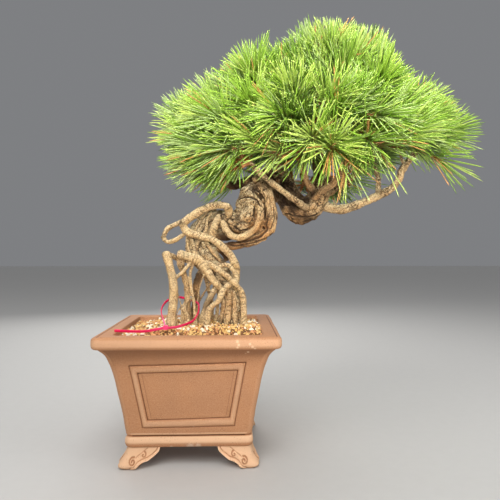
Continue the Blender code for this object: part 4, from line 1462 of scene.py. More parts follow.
@dataclass
class CableTie:
    """The pink tie left round the two front roots: a drooping loop, its head and a ribbed tail."""

    ring: tuple = (
        (-31.6, -62, 173.4), (-19.8, -60, 173.4), (-8.7, -52, 175.2), (2.4, -42, 179.3),
        (8.1, -30, 188.1), (8.6, -22, 193.6), (8.1, -16, 197.6), (4.4, -9, 200.7),
        (-3.7, -2, 203.2), (-13.8, 0, 205.8), (-22.8, -2, 207.0), (-33.8, -13, 204.6),
        (-39.8, -22, 198.6), (-41.4, -32, 191.6), (-38.6, -43, 185.0), (-34.2, -54, 178.0),
    )
    across: tuple = (0.04, -0.49, 0.87)
    tail: tuple = ((-31.6, -62, 173.4), (-51, -72, 170.9), (-65, -74, 170.3), (-94.7, -72, 171.1))
    tail_across: tuple = (0, -0.3, 1.0)
    band: float = 3.6
    thick: float = 1.4
    head: tuple = (6.0, 4.6, 6.2)
    rib_gap: float = 1.5

    def strap(self, points: np.ndarray, across: tuple, loop: bool) -> Shape:
        """A flat strap with rounded edges through the points.

        Args:
            points: Its centre line.
            across: The way that its width lies.
            loop: Whether it closes on itself.

        Returns:
            The closed shape.
        """
        if loop:
            along = unit(np.roll(points, -1, axis=0) - np.roll(points, 1, axis=0))
        else:
            along = unit(np.gradient(points, axis=0))
        out = unit(np.cross(along, across))
        side = unit(np.cross(out, along))
        corners = []
        for turn in np.linspace(0, 2 * np.pi, 12, endpoint=False):
            x = np.sign(math.cos(turn)) * abs(math.cos(turn)) ** 0.45 * self.band / 2
            y = np.sign(math.sin(turn)) * abs(math.sin(turn)) ** 0.6 * self.thick / 2
            corners.append(points + side * x + out * y)
        return skin(np.stack(corners, axis=1), loop=loop)

    def head_shape(self) -> Shape:
        """The box that the strap runs through, with rounded edges.

        Returns:
            The closed shape.
        """
        wide, deep, tall = self.head
        rings = []
        for share in np.linspace(-1, 1, 9):
            lift = math.copysign(abs(share) ** 0.7, share) * tall / 2
            inset = 0.75 if abs(share) == 1 else 0.0
            ring = []
            for turn in np.linspace(0, 2 * np.pi, 20, endpoint=False):
                x = math.copysign(abs(math.cos(turn)) ** 0.35, math.cos(turn)) * (wide / 2 - inset)
                y = math.copysign(abs(math.sin(turn)) ** 0.35, math.sin(turn)) * (deep / 2 - inset)
                ring.append((x, y, lift))
            rings.append(ring)
        shape = skin(np.array(rings))
        return Shape(shape.points + np.array(self.tail[0]), shape.faces)

    def ribs(self, line: np.ndarray) -> Shape:
        """Low ribs across the tail's front face.

        Args:
            line: The tail's centre line, read finely.

        Returns:
            The ribs, each a small closed bar.
        """
        lengths = run_length(line)
        bars = []
        for at in np.arange(8, lengths[-1] - 3, self.rib_gap):
            place = read_along(line, lengths, at)
            along = unit(read_along(line, lengths, at + 0.5) - place)
            out = unit(np.cross(along, self.tail_across))
            side = np.cross(out, along)
            middle = place - out * self.thick * 0.5
            corners = ((-1.3, 0.2), (1.3, 0.2), (1.2, -0.3), (-1.2, -0.3))
            ring = [middle + side * x + out * y for x, y in corners]
            bars.append(skin(np.array([[p - along * 0.3 for p in ring], [p + along * 0.3 for p in ring]])))
        return join(bars)

    def make(self) -> None:
        """Makes the tie and dresses it."""
        ring = smooth_route(tuple((*point, 1.0) for point in self.ring), 2.0, loop=True)[:, :3]
        tail = smooth_route(tuple((*point, 1.0) for point in self.tail), 2.0)[:, :3]
        parts = [
            self.strap(ring, self.across, loop=True),
            self.strap(tail, self.tail_across, loop=False),
            self.head_shape(),
            self.ribs(tail),
        ]
        shape = join(parts)
        near = np.linalg.norm(shape.points - np.array(self.tail[0]), axis=1)
        above = ease(shape.points[:, 2], 174.5, 179.0)
        stretch = ease(near, 30, 8) * (0.3 + 0.7 * above)
        tie = add_piece("pink_tie", shape, TieFinish().make(), {"stretch": stretch}, sharp=50)
        hand_over(tie, "tie", ["cable_tie"])


def smooth_route(route: Sequence[tuple[float, ...]], step: float, loop: bool = False) -> np.ndarray:
    """Reads points and radii evenly along the smooth curve through a route.

    Args:
        route: Points of x, y, z and radius, in mm.
        step: Distance between two readings, in mm.
        loop: Whether the last point joins the first.

    Returns:
        Rows of x, y, z and radius.
    """
    points = np.array(route, float)
    if loop:
        ends = np.vstack([points[-1:], points, points[:2]])
    else:
        ends = np.vstack([2 * points[0] - points[1], points, 2 * points[-1] - points[-2]])
    fine = []
    for a, b, c, d in zip(ends, ends[1:], ends[2:], ends[3:]):
        for t in np.linspace(0, 1, 12, endpoint=False):
            bend = 2 * b + (c - a) * t + (2 * a - 5 * b + 4 * c - d) * t**2
            fine.append((bend + (3 * b - a - 3 * c + d) * t**3) / 2)
    fine = np.array(fine + [ends[-2]])
    lengths = run_length(fine[:, :3])
    at = np.linspace(0, lengths[-1], max(3, int(round(lengths[-1] / step)) + 1))
    if loop:
        at = at[:-1]
    return read_along(fine, lengths, at)


@dataclass(frozen=True)
class Relief:
    """How rough one kind of bark is: sizes and depths in mm."""

    lump: float = 0.35
    lump_size: float = 9.0
    plate: float = 0.0
    plate_size: float = 6.0
    stretch: float = 1.0
    flute: float = 0.0
    flute_count: int = 8
    ring: float = 0.0
    ring_gap: float = 4.0
    pit: float = 0.0
    pit_size: float = 3.0
    paleness: float = 0.8
    warmth: float = 0.1

    def read(self, spots: "Surroundings", seed: int) -> tuple[np.ndarray, np.ndarray]:
        """Works out the relief at points of a limb's surface.

        Args:
            spots: Where the points lie on their limbs.
            seed: Picks the pattern.

        Returns:
            How far each point stands out, in mm, and how dark it is painted in cracks, flute valleys, rings
            and pits, as their colour and as shade, from 0 to 1.
        """
        rolled = np.stack(
            [
                spots.radius * np.cos(spots.angle),
                spots.radius * np.sin(spots.angle),
                spots.along / self.stretch,
            ],
            axis=-1,
        )
        rolled = rolled + 37.0 * spots.limb[:, None]
        out = self.lump * soft_noise(spots.points, self.lump_size, seed)
        out = out + 0.4 * self.lump * soft_noise(spots.points, self.lump_size / 2.7, seed + 1)
        # The crack mark darkens cracks, flute valleys, rings and pits, partly as painted shade.
        crack = np.zeros(len(spots.points))
        if self.plate:
            warp = 0.35 * self.plate_size * soft_noise(spots.points, self.plate_size * 1.3, seed + 2)
            near, edge = cell_noise(rolled + warp[:, None], self.plate_size, seed + 3)
            groove = line_mark(edge, 0.11)
            out = out - self.plate * groove + 0.5 * self.plate * (0.5 - near)
            crack = np.maximum(crack, groove * ease(soft_noise(spots.points, 14, seed + 4), -0.35, 0.6))
        if self.flute:
            drift = 1.2 * soft_noise(spots.points, 30.0, seed + 5)
            wave = np.cos(self.flute_count * spots.angle + drift * 2 + spots.along * 0.012)
            out = out + self.flute * (np.abs(wave) ** 0.7 - 0.6)
            crack = np.maximum(crack, 0.8 * ease(np.abs(wave), 0.3, 0.05))
        if self.ring:
            drift = 0.9 * soft_noise(spots.points, 11.0, seed + 6) + 0.25 * np.sin(spots.angle + 1)
            share = (spots.along / self.ring_gap + drift) % 1.0
            there = ease(soft_noise(spots.points, 5.0, seed + 7), -0.35, 0.3)
            line = line_mark(np.minimum(share, 1 - share), 0.11) * there
            out = out - self.ring * line
            crack = np.maximum(crack, 0.75 * line)
        if self.pit:
            near, _ = cell_noise(spots.points, self.pit_size, seed + 8)
            pit = ease(near, 0.34, 0.16) * ease(soft_noise(spots.points, 12, seed + 9), -0.5, 0.3)
            out = out - self.pit * pit
            crack = np.maximum(crack, 0.85 * pit)
        return out, crack


class Bark(Enum):
    """The kinds of bark on this tree."""

    ROOT = Relief(lump=0.7, lump_size=7.5, pit=0.5, pit_size=3.0, ring=0.18, ring_gap=5.5, paleness=0.9,
                  warmth=0.1)
    POST = Relief(lump=0.5, lump_size=10, ring=0.42, ring_gap=2.5, pit=0.4, pit_size=3.0, paleness=0.88,
                  warmth=0.14)
    FIBRE = Relief(lump=0.9, lump_size=7, plate=0.6, plate_size=3.4, stretch=5.0, flute=0.8,
                   flute_count=5, pit=0.4, pit_size=3.0, paleness=0.35, warmth=0.25)
    COLUMN = Relief(lump=1.8, lump_size=9, plate=1.1, plate_size=4.8, stretch=2.0, flute=0.8,
                    flute_count=4, pit=1.1, pit_size=3.4, paleness=0.82, warmth=0.14)
    KNEE = Relief(lump=1.7, lump_size=9, plate=0.7, plate_size=5.0, stretch=1.8, flute=0.5,
                  flute_count=3, pit=0.8, pit_size=3.0, paleness=1.0, warmth=0.04)
    BURL = Relief(lump=2.3, lump_size=12, plate=1.2, plate_size=4.8, stretch=1.3, pit=1.1, pit_size=3.3,
                  paleness=0.78, warmth=0.16)
    NECK = Relief(lump=2.8, lump_size=13, plate=1.9, plate_size=6.5, stretch=1.7, pit=1.2, pit_size=3.6,
                  paleness=0.25, warmth=0.32)
    LEADER = Relief(lump=1.2, lump_size=11, plate=1.2, plate_size=6.0, stretch=1.8, pit=0.5, pit_size=3.4,
                    paleness=0.4, warmth=0.25)
    BAND = Relief(lump=1.0, lump_size=10, plate=0.8, plate_size=4.4, stretch=3.2, pit=0.55, pit_size=3.2,
                  paleness=0.7, warmth=0.4)
    COIL = Relief(lump=0.7, lump_size=10, plate=0.3, plate_size=4.0, stretch=2.0, pit=0.5, pit_size=3.0,
                  paleness=0.8, warmth=0.18)
    BOUGH = Relief(lump=0.75, lump_size=7, plate=0.35, plate_size=3.8, stretch=1.2, pit=0.6,
                   pit_size=2.8, ring=0.2, ring_gap=6.0, paleness=0.85, warmth=0.16)
    INNER = Relief(lump=0.8, lump_size=7, plate=0.6, plate_size=4.2, stretch=1.5, pit=0.5, pit_size=2.8,
                   paleness=0.55, warmth=0.4)
    DEAD = Relief(lump=0.2, lump_size=5, plate=0.15, plate_size=3.0, stretch=3.0, paleness=1.0, warmth=0.0)


@dataclass
class Limb:
    """One limb: its route, its bark, and its centre line read finely with a frame at each reading."""

    name: str
    route: tuple
    bark: Bark
    step: float = 1.5
    line: np.ndarray = field(init=False)
    length: np.ndarray = field(init=False)
    ahead: np.ndarray = field(init=False)
    side: np.ndarray = field(init=False)

    def __post_init__(self) -> None:
        """Reads the centre line and carries a side direction along it without twist."""
        self.line = smooth_route(self.route, self.step)
        points = self.line[:, :3]
        self.length = run_length(points)
        self.ahead = unit(np.gradient(points, axis=0))
        first = np.cross(self.ahead[0], (0.3, 0.5, 0.8))
        sides = [first / np.linalg.norm(first)]
        for ahead in self.ahead[1:]:
            side = sides[-1] - ahead * float(sides[-1] @ ahead)
            sides.append(side / np.linalg.norm(side))
        self.side = np.array(sides)

    @property
    def tip(self) -> np.ndarray:
        """The end of the limb."""
        return self.line[-1, :3]

    @property
    def heading(self) -> np.ndarray:
        """The way that the limb's end points."""
        return self.ahead[-1]

    def tube(self, sides: int, random: Random) -> Shape:
        """A knobbly tube round the centre line, with rounded ends.

        Args:
            sides: Points round it.
            random: Source of random numbers.

        Returns:
            The closed shape.
        """
        every = 2
        points, radii = self.line[::every, :3], self.line[::every, 3]
        ahead, side = self.ahead[::every], self.side[::every]
        shift = random.uniform(0, 900)
        at = np.stack([self.length[::every] + shift] + [np.full(len(points), shift)] * 2, axis=-1)
        radii = radii * (1 + 0.12 * soft_noise(at, 11.0, 31) + 0.07 * soft_noise(at, 4.5, 32))
        for end, way in ((0, -1), (-1, 1)):
            cap = points[end] + way * ahead[end] * radii[end] * 0.45
            slim = radii[end] * 0.62
            index = 0 if end == 0 else len(points)
            points = np.insert(points, index, cap, axis=0)
            radii = np.insert(radii, index, slim)
            ahead = np.insert(ahead, index, ahead[end], axis=0)
            side = np.insert(side, index, side[end], axis=0)
        up = np.cross(ahead, side)
        turns = np.linspace(0, 2 * np.pi, sides, endpoint=False)
        ring = side[:, None] * np.cos(turns)[None, :, None] + up[:, None] * np.sin(turns)[None, :, None]
        return skin(points[:, None] + ring * radii[:, None, None])


@dataclass
class Surroundings:
    """Where points lie on the limbs nearest to them."""

    points: np.ndarray
    limb: np.ndarray
    along: np.ndarray
    angle: np.ndarray
    radius: np.ndarray
    beside: np.ndarray

    def pick(self, chosen: np.ndarray) -> "Surroundings":
        """Gives the same facts for some of the points."""
        return Surroundings(*(getattr(self, name)[chosen] for name in self.__dataclass_fields__))


@dataclass(frozen=True)
class Spot:
    """A round place on the wood that looks different from its bark."""

    place: tuple
    reach: float

    def near(self, points: np.ndarray) -> np.ndarray:
        """Gives 1 for points in the inner third of the spot, down to 0 at its reach."""
        return ease(np.linalg.norm(points - np.array(self.place), axis=1), self.reach, self.reach / 3)


@dataclass(frozen=True)
class ToneSpot(Spot):
    """A place that is warmer, or more or less bleached."""

    warmth: float
    paleness: float


@dataclass(frozen=True)
class DarkSpot(Spot):
    """A place that is dark with shade and old bark."""

    darkness: float


TRUNK_ROUTES = (
    (
        (51, 12, 150, 27), (52, 10, 178, 18), (52, 9, 202, 13.8), (46, 8, 224, 14.4), (31, 6, 245, 17.9),
        (13, 6, 267, 20.4), (8, 8, 288, 19.8), (16, 10, 310, 16.4), (29, 12, 327, 12.5),
    ),
    (
        (20, 10, 316, 13.5), (44, 10, 318, 13), (65, 5, 314, 17.5), (76, 5, 328, 19.2), (79, 8, 348, 18),
        (88, 13, 366, 13.6), (94, 18, 382, 11),
    ),
    (
        (88, 14, 372, 10.5), (105, 21, 381, 12), (127, 20, 366, 16.2), (140, 14, 346, 19.6),
        (151, 9, 330, 19.4), (162, 6, 322, 13),
    ),
    (
        (152, 9, 326, 12), (162, 7, 330, 17.4), (175, 6, 345, 16), (183, 6, 366, 14), (182, 8, 392, 12),
        (174, 8, 421, 10), (170, 6, 450, 7.9), (176, 4, 474, 5.6),
    ),
)
TRUNK_BARKS = (Bark.KNEE, Bark.BURL, Bark.NECK, Bark.LEADER)
COLUMN_TOP = 232.0
ROOT_ROUTES = {
    "root_arch_upper": (
        (49, -2, 322, 5.6), (49, -12, 333, 5.6), (36, -20, 336, 5.2), (20, -22, 332, 5.2),
        (5, -22, 324, 5.5), (-13, -22, 311, 5.8),
    ),
    "root_arch_lower": (
        (-14, -22, 310, 5.8), (-8, -22, 299, 5.5), (10, -24, 293, 5.5), (29, -24, 287, 5.1),
        (44, -20, 275, 4.8), (56, -14, 260, 4.9), (61, -8, 242, 4.6), (57, 3, 212, 3.8),
    ),
    "root_loop_upper": (
        (-6, -22, 317, 3.6), (-25, -14, 309, 3.2), (-36, -12, 303, 3.5), (-42, -12, 292, 3.6),
    ),
    "root_loop_lower": (
        (-43, -12, 293, 3.6), (-36, -13, 285, 3.1), (-24, -15, 288, 3.1), (-10, -20, 297, 3.1),
    ),
    "root_post": (
        (-30, -28, 160, 7.8), (-29, -28, 178, 7), (-26, -26, 203, 6.5), (-26, -26, 228, 6.3),
        (-31, -25, 251, 6), (-36, -24, 269.5, 6.4),
    ),
    "root_post_arm": ((-37, -24, 268, 4.4), (-28, -21, 266, 3.5), (-20, -12, 260, 3.2), (4, 0, 258, 3.0)),
    "root_knee": (
        (-18, -25, 268, 6.2), (-6, -23, 265, 5.6), (7, -20, 260, 6.6), (17, -18, 249, 5.9),
        (28, -16, 232, 5.0), (44, -4, 214, 4.2),
    ),
    "root_knee_leg": (
        (-18, -21, 266, 5.2), (-15, -18, 248, 4.6), (-10, -14, 230, 3.9), (-8, -12, 208, 4),
        (-9, -9, 190, 6), (-10, -8, 160, 8.6),
    ),
    "root_cross": ((-26, -26, 233, 2.9), (-12, -24, 245, 2.6), (-1, -21, 260, 2.6)),
    "root_diagonal": (
        (17, -14, 256, 4.0), (30, -19, 250, 4.3), (46, -18, 238, 4.5), (60, -16, 225, 4.3),
        (69, -12, 208, 4.4), (71, -8, 160, 5.8),
    ),
    "root_small_loop": (
        (34, -17, 249, 2.8), (45, -13, 253, 3.0), (54, -12, 248, 3.1), (60, -12, 236, 3.2),
        (62, -15, 223, 2.8),
    ),
    "root_fork_left": (
        (55, -15, 230, 4.3), (42, -18, 218, 4.5), (35, -20, 203, 4.5), (22, -18, 190, 4.4),
        (18, -16, 160, 6.4),
    ),
    "root_fork_back": ((38, 2, 232, 4.2), (25, -2, 210, 4.4), (17, -1, 192, 4.6), (9, 0, 160, 6.4)),
    "root_shaded": ((14, 4, 252, 5.8), (3, 14, 224, 5.2), (1, 20, 196, 5.4), (-2, 24, 160, 8)),
    "root_thin": (
        (0, -17, 257, 2.6), (-4, -15, 240, 2.3), (-2, -14, 218, 2.3), (2, -15, 196, 2.1),
        (4, -18, 160, 3.4),
    ),
    "root_strand": ((27, -14, 232, 1.8), (15, 3, 214, 1.7), (4, 17, 197, 1.8)),
    "root_stub": ((37, 3, 324, 4.4), (32, -5, 314, 4.7), (28, -8, 302, 5.0), (24, -4, 286, 4.8)),
    "root_band": (
        (88, 8, 376, 8), (100, 2, 363, 7.6), (107, 0, 349, 7.8), (110.5, 0, 334, 8.2), (111.5, 0, 318, 8.3),
        (109, 0, 304, 8), (98, 2, 293.5, 7.8), (82, 5, 287, 7.3), (60, 10, 280.5, 6.5), (26, 10, 275, 5.8),
    ),
    "root_round_burl": (
        (84, -2, 356, 4.2), (92, -9, 341, 4.5), (94, -11, 324, 4.8), (88, -12, 307, 4.9),
        (76, -13, 296, 4.9), (61, -12, 291, 4.9), (48, -10, 299, 4.9), (40, 2, 316, 4.6),
    ),
}
ROOTLET_ROUTES = (
    ((18, -12, 246, 1.3), (10, -10, 226, 1.1), (6, -8, 204, 1.2), (3, -8, 166, 1.6)),
    ((24, -10, 230, 0.8), (16, -6, 216, 0.7), (6, -2, 198, 0.6)),
    ((-24, -20, 224, 1.2), (-19, -18, 208, 1.0), (-16, -16, 192, 1.1), (-17, -15, 166, 1.4)),
    ((-6, -10, 214, 1.4), (-13, -14, 199, 1.2), (-22, -18, 186, 1.2), (-21, -20, 166, 1.5)),
    ((-3, -12, 206, 1.5), (-12, -15, 192, 1.8), (-6, -16, 178, 1.7), (-14, -18, 166, 1.6)),
    ((2, 2, 214, 1.2), (-8, 0, 196, 1.4), (-16, -8, 182, 1.3), (-12, -10, 166, 1.6)),
    ((44, -16, 214, 1.0), (47, -17, 196, 0.9), (43, -16, 180, 1.0), (46, -16, 166, 1.2)),
    ((57, -10, 216, 1.1), (62, -14, 198, 1.0), (58, -16, 182, 1.1), (63, -14, 166, 1.3)),
    ((30, 10, 226, 2.2), (34, 20, 204, 2.4), (30, 26, 166, 3.4)),
    ((12, 18, 246, 3.2), (18, 30, 220, 3.0), (24, 34, 194, 3.2), (22, 40, 164, 4.6)),
    ((52, 20, 226, 2.6), (60, 28, 204, 2.8), (66, 34, 164, 4.2)),
    ((22, -2, 331, 1.5), (12.5, -4, 319, 2.2), (8.5, -5, 312, 2.5), (3, -6.5, 303, 2.3), (0, -9, 294, 1.6)),
    ((25, -5, 327, 1.5), (19, -6, 316, 2.4), (18, -7, 305, 2.6), (15, -10, 296, 2.0)),
    ((-5, -7, 296, 2.0), (-1, -9.5, 285, 2.8), (2.6, -13, 275, 2.8), (2, -15, 264, 2.2)),
    ((-10, -3, 298, 2.0), (-8.5, -5, 288, 2.6), (-7.4, -6, 278, 2.6), (-3.5, -8, 268, 2.0)),
    ((7, -10, 292, 1.8), (6, -13.5, 280, 2.4), (1.6, -12, 269.6, 2.2), (0, -12, 262, 1.8)),
    (
        (14, -9, 291, 2.0), (21, -11, 280, 3.0), (27.6, -8.5, 269.6, 3.2), (34.3, -6.5, 261, 2.6),
        (41, -5, 250, 1.8),
    ),
    ((36, 0, 226, 2.0), (42, -2, 200, 2.8), (41, -2, 186, 3.0), (38, -2, 162, 4.0)),
    ((57, -6, 214, 2.0), (58, -6, 196, 3.0), (58, -7, 180, 3.4), (60, -8, 162, 4.4)),
    ((48, -6, 222, 2.0), (50, -6, 204, 3.2), (49, -6, 186, 3.6), (47, -7, 162, 5.0)),
)
BAND_ROUTES = (
    (
        (84, 10, 374, 6), (96, 9, 356, 5.6), (101, 9, 340, 5.6), (102, 9, 322, 5.6), (98, 9, 306, 5.6),
        (88, 9, 297, 5),
    ),
    ((102, 18, 378, 8), (112, 16, 360, 8), (120, 14, 346, 7)),
    ((28, 16, 298, 8), (46, 18, 295, 8), (66, 16, 300, 7)),
    ((34, 12, 282, 8), (44, 10, 270, 7), (46, 8, 258, 4.6)),
    (
        (92, -2, 367, 4.6), (101.5, -5, 352, 4.4), (104.5, -6, 336, 4.4), (105, -6, 320, 4.4),
        (101.5, -5, 306, 4.4),
    ),
)
BOUGH_ROUTES = {
    "bough_left_front": (
        (158, -8, 334, 5.6), (144, -26, 340, 4.8), (119, -33, 357, 4.0), (98, -39, 372, 3.8),
        (76, -46, 392, 3.4),
    ),
    "bough_left_back": (
        (84, 18, 377, 8), (69, 28, 372, 7.4), (52, 40, 371, 6.4), (37, 52, 384, 5.6), (26, 58, 402, 4.6),
    ),
    "bough_top_left": ((131, 19, 372, 7), (121, 14, 399, 6.2), (106, 10, 421, 5.4), (96, 8, 446, 4.4)),
    "bough_front": ((173, -1, 354, 5.4), (158, -26, 367, 4.7), (150, -46, 379, 4.2), (142, -63, 390, 3.6)),
    "bough_back": ((152, 18, 350, 6.8), (144, 40, 372, 6), (138, 60, 391, 5.2), (136, 74, 408, 4.4)),
    "bough_middle": (
        (170, -4, 346, 6), (181, -24, 357, 5), (191, -39, 364, 4.5), (199, -51, 378, 4.1),
        (206, -61, 393, 3.6),
    ),
    "bough_middle_back": (
        (180, 14, 347, 5.8), (202, 28, 361, 5.2), (227, 44, 378, 4.9), (252, 58, 397, 4.5),
        (268, 68, 413, 4),
    ),
    "bough_right": (
        (180, 3, 338, 7.4), (208, -2, 332, 6.5), (233, -6, 338, 6.1), (259, -10, 350, 5.8),
        (278, -14, 360, 5.4), (288, -16, 372, 5.1), (292, -18, 385, 4.9), (302, -20, 400, 4.4),
        (313, -22, 413, 3.8),
    ),
    "bough_right_inner": (
        (260, -10, 352, 4.2), (262, -6, 372, 3.9), (259, 0, 396, 3.6), (257, 5, 422, 3.2),
    ),
    "dead_twig": ((296, -19, 391, 2.6), (291, -20, 401, 2.2), (288, -21, 410, 1.6)),
}
ROOT_BARKS = {
    "root_post": Bark.POST, "root_thin": Bark.POST, "root_band": Bark.BAND, "root_round_burl": Bark.COIL,
    "root_shaded": Bark.FIBRE, "root_knee_leg": Bark.FIBRE,
}
INNER_BOUGHS = (
    "bough_left_back", "bough_top_left", "bough_back", "bough_middle", "bough_middle_back", "bough_front",
)
BOUGH_BARKS = dict.fromkeys(INNER_BOUGHS, Bark.INNER) | {"dead_twig": Bark.DEAD}
DARK_SPOTS = tuple(DarkSpot(*row) for row in (
    ((116, 6, 352), 16, 0.98), ((124, 2, 341), 16, 0.98), ((134, 2, 364), 28, 0.98),
    ((131, -2, 349), 20, 1.0), ((142, -5, 338), 17, 0.98), ((156, -6, 344), 15, 0.95),
    ((150, -4, 318), 24, 0.5), ((100, 4, 326), 7, 0.95), ((74, 6, 280), 22, 0.35),
    ((108, 4, 376), 18, 0.85), ((150, -4, 354), 20, 0.8), ((166, -8, 356), 12, 0.95),
    ((148, 0, 382), 34, 0.8), ((180, 0, 388), 30, 0.75), ((64, 10, 376), 20, 0.92),
    ((66, 30, 374), 28, 0.92), ((48, 12, 292), 24, 0.98), ((44, 8, 266), 18, 0.9),
    ((50, -4, 242), 8, 0.7), ((30, 2, 232), 13, 0.8), ((-2, 6, 236), 20, 0.85), ((-8, 6, 196), 26, 0.9),
    ((26, 4, 196), 22, 0.85), ((34, -2, 172), 12, 0.6),
))
TONE_SPOTS = tuple(ToneSpot(*row) for row in (
    ((92, -6, 306), 26, 0.55, -0.3), ((60, 6, 284), 30, 0.4, -0.3), ((150, 6, 322), 24, 0.35, -0.2),
    ((76, 0, 352), 20, -0.1, 0.3), ((20, 0, 262), 26, -0.05, 0.25), ((40, 0, 232), 12, 0.3, 0.0),
    ((4, 10, 215), 26, 0.15, -0.5), ((46, -2, 192), 30, 0.4, -0.1), ((30, -4, 262), 30, 0.3, -0.1),
))


@dataclass(frozen=True)
class Slit:
    """A narrow slit in the bark, painted dark as the shade in it."""

    path: tuple
    width: float = 1.5
    depth: float = 2.2

    def mark(self, points: np.ndarray) -> np.ndarray:
        """Gives how far each point lies in the slit, from 0 to 1.

        Args:
            points: The points, in mm.

        Returns:
            One share a point.
        """
        nearest = np.full(len(points), np.inf)
        for foot, end in zip(np.array(self.path, float), np.array(self.path[1:], float)):
            away = off_segment(points, foot, end) * (1, 0.15, 1)
            nearest = np.minimum(nearest, np.linalg.norm(away, axis=1))
        return ease(nearest, self.width, self.width * 0.5)


SLITS = (
    Slit((
        (85, -3, 363), (88, -6, 356), (94, -10, 347), (99, -3, 340), (100.7, 0, 330), (100.7, 0, 320),
        (100, -5, 312), (99, 0, 306),
    ), 2.5, 4.0),
    Slit(((88.5, -3, 362), (92.7, -1, 357), (97, 2, 351), (100, -2, 343)), 1.9, 3.0),
    Slit((
        (60, -3, 344), (66, -5, 347), (75, -9, 349), (82, -10, 347.5), (89, -12, 343), (93, -13, 336),
    ), 1.7, 2.2),
    Slit((
        (85, -9, 334), (87, -12, 320), (83.5, -13, 309), (75.5, -12, 303), (65, -11, 301), (56.5, -9, 306),
    ), 1.8, 1.8),
    Slit((
        (112, -2, 296), (108, -1, 292), (91, -2, 285), (74, 2, 280), (57, 4, 280), (48, 7, 283),
    ), 1.8, 2.2),
    Slit((
        (104, -6, 318), (103, -5, 303), (94, -3, 293), (76, 0, 287), (62, 5, 286), (48, 10, 291),
    ), 2.3, 2.8),
    Slit(((113, -4, 334), (114, -5, 318), (109, -4, 304)), 1.3, 1.6),
    Slit(((124, 4, 330), (131, 2, 325.5), (142, -6, 322), (160, -6, 319.5), (175, -5, 324)), 1.7, 2.2),
    Slit(((134, 5, 316), (144, 4, 313), (157, 0, 314), (168, -2, 316)), 1.4, 1.6),
    Slit(((118, 6, 352), (126, 1, 342), (134, -4, 337), (146, -8, 336), (156, -7, 341)), 2.6, 3.2),
    Slit(((126, 3, 372), (131, 1, 360), (139, -2, 352), (150, 1, 351)), 2.2, 2.6),
    Slit(((140, 8, 372), (144, 4, 360), (152, 3, 352)), 1.6, 2.0),
)


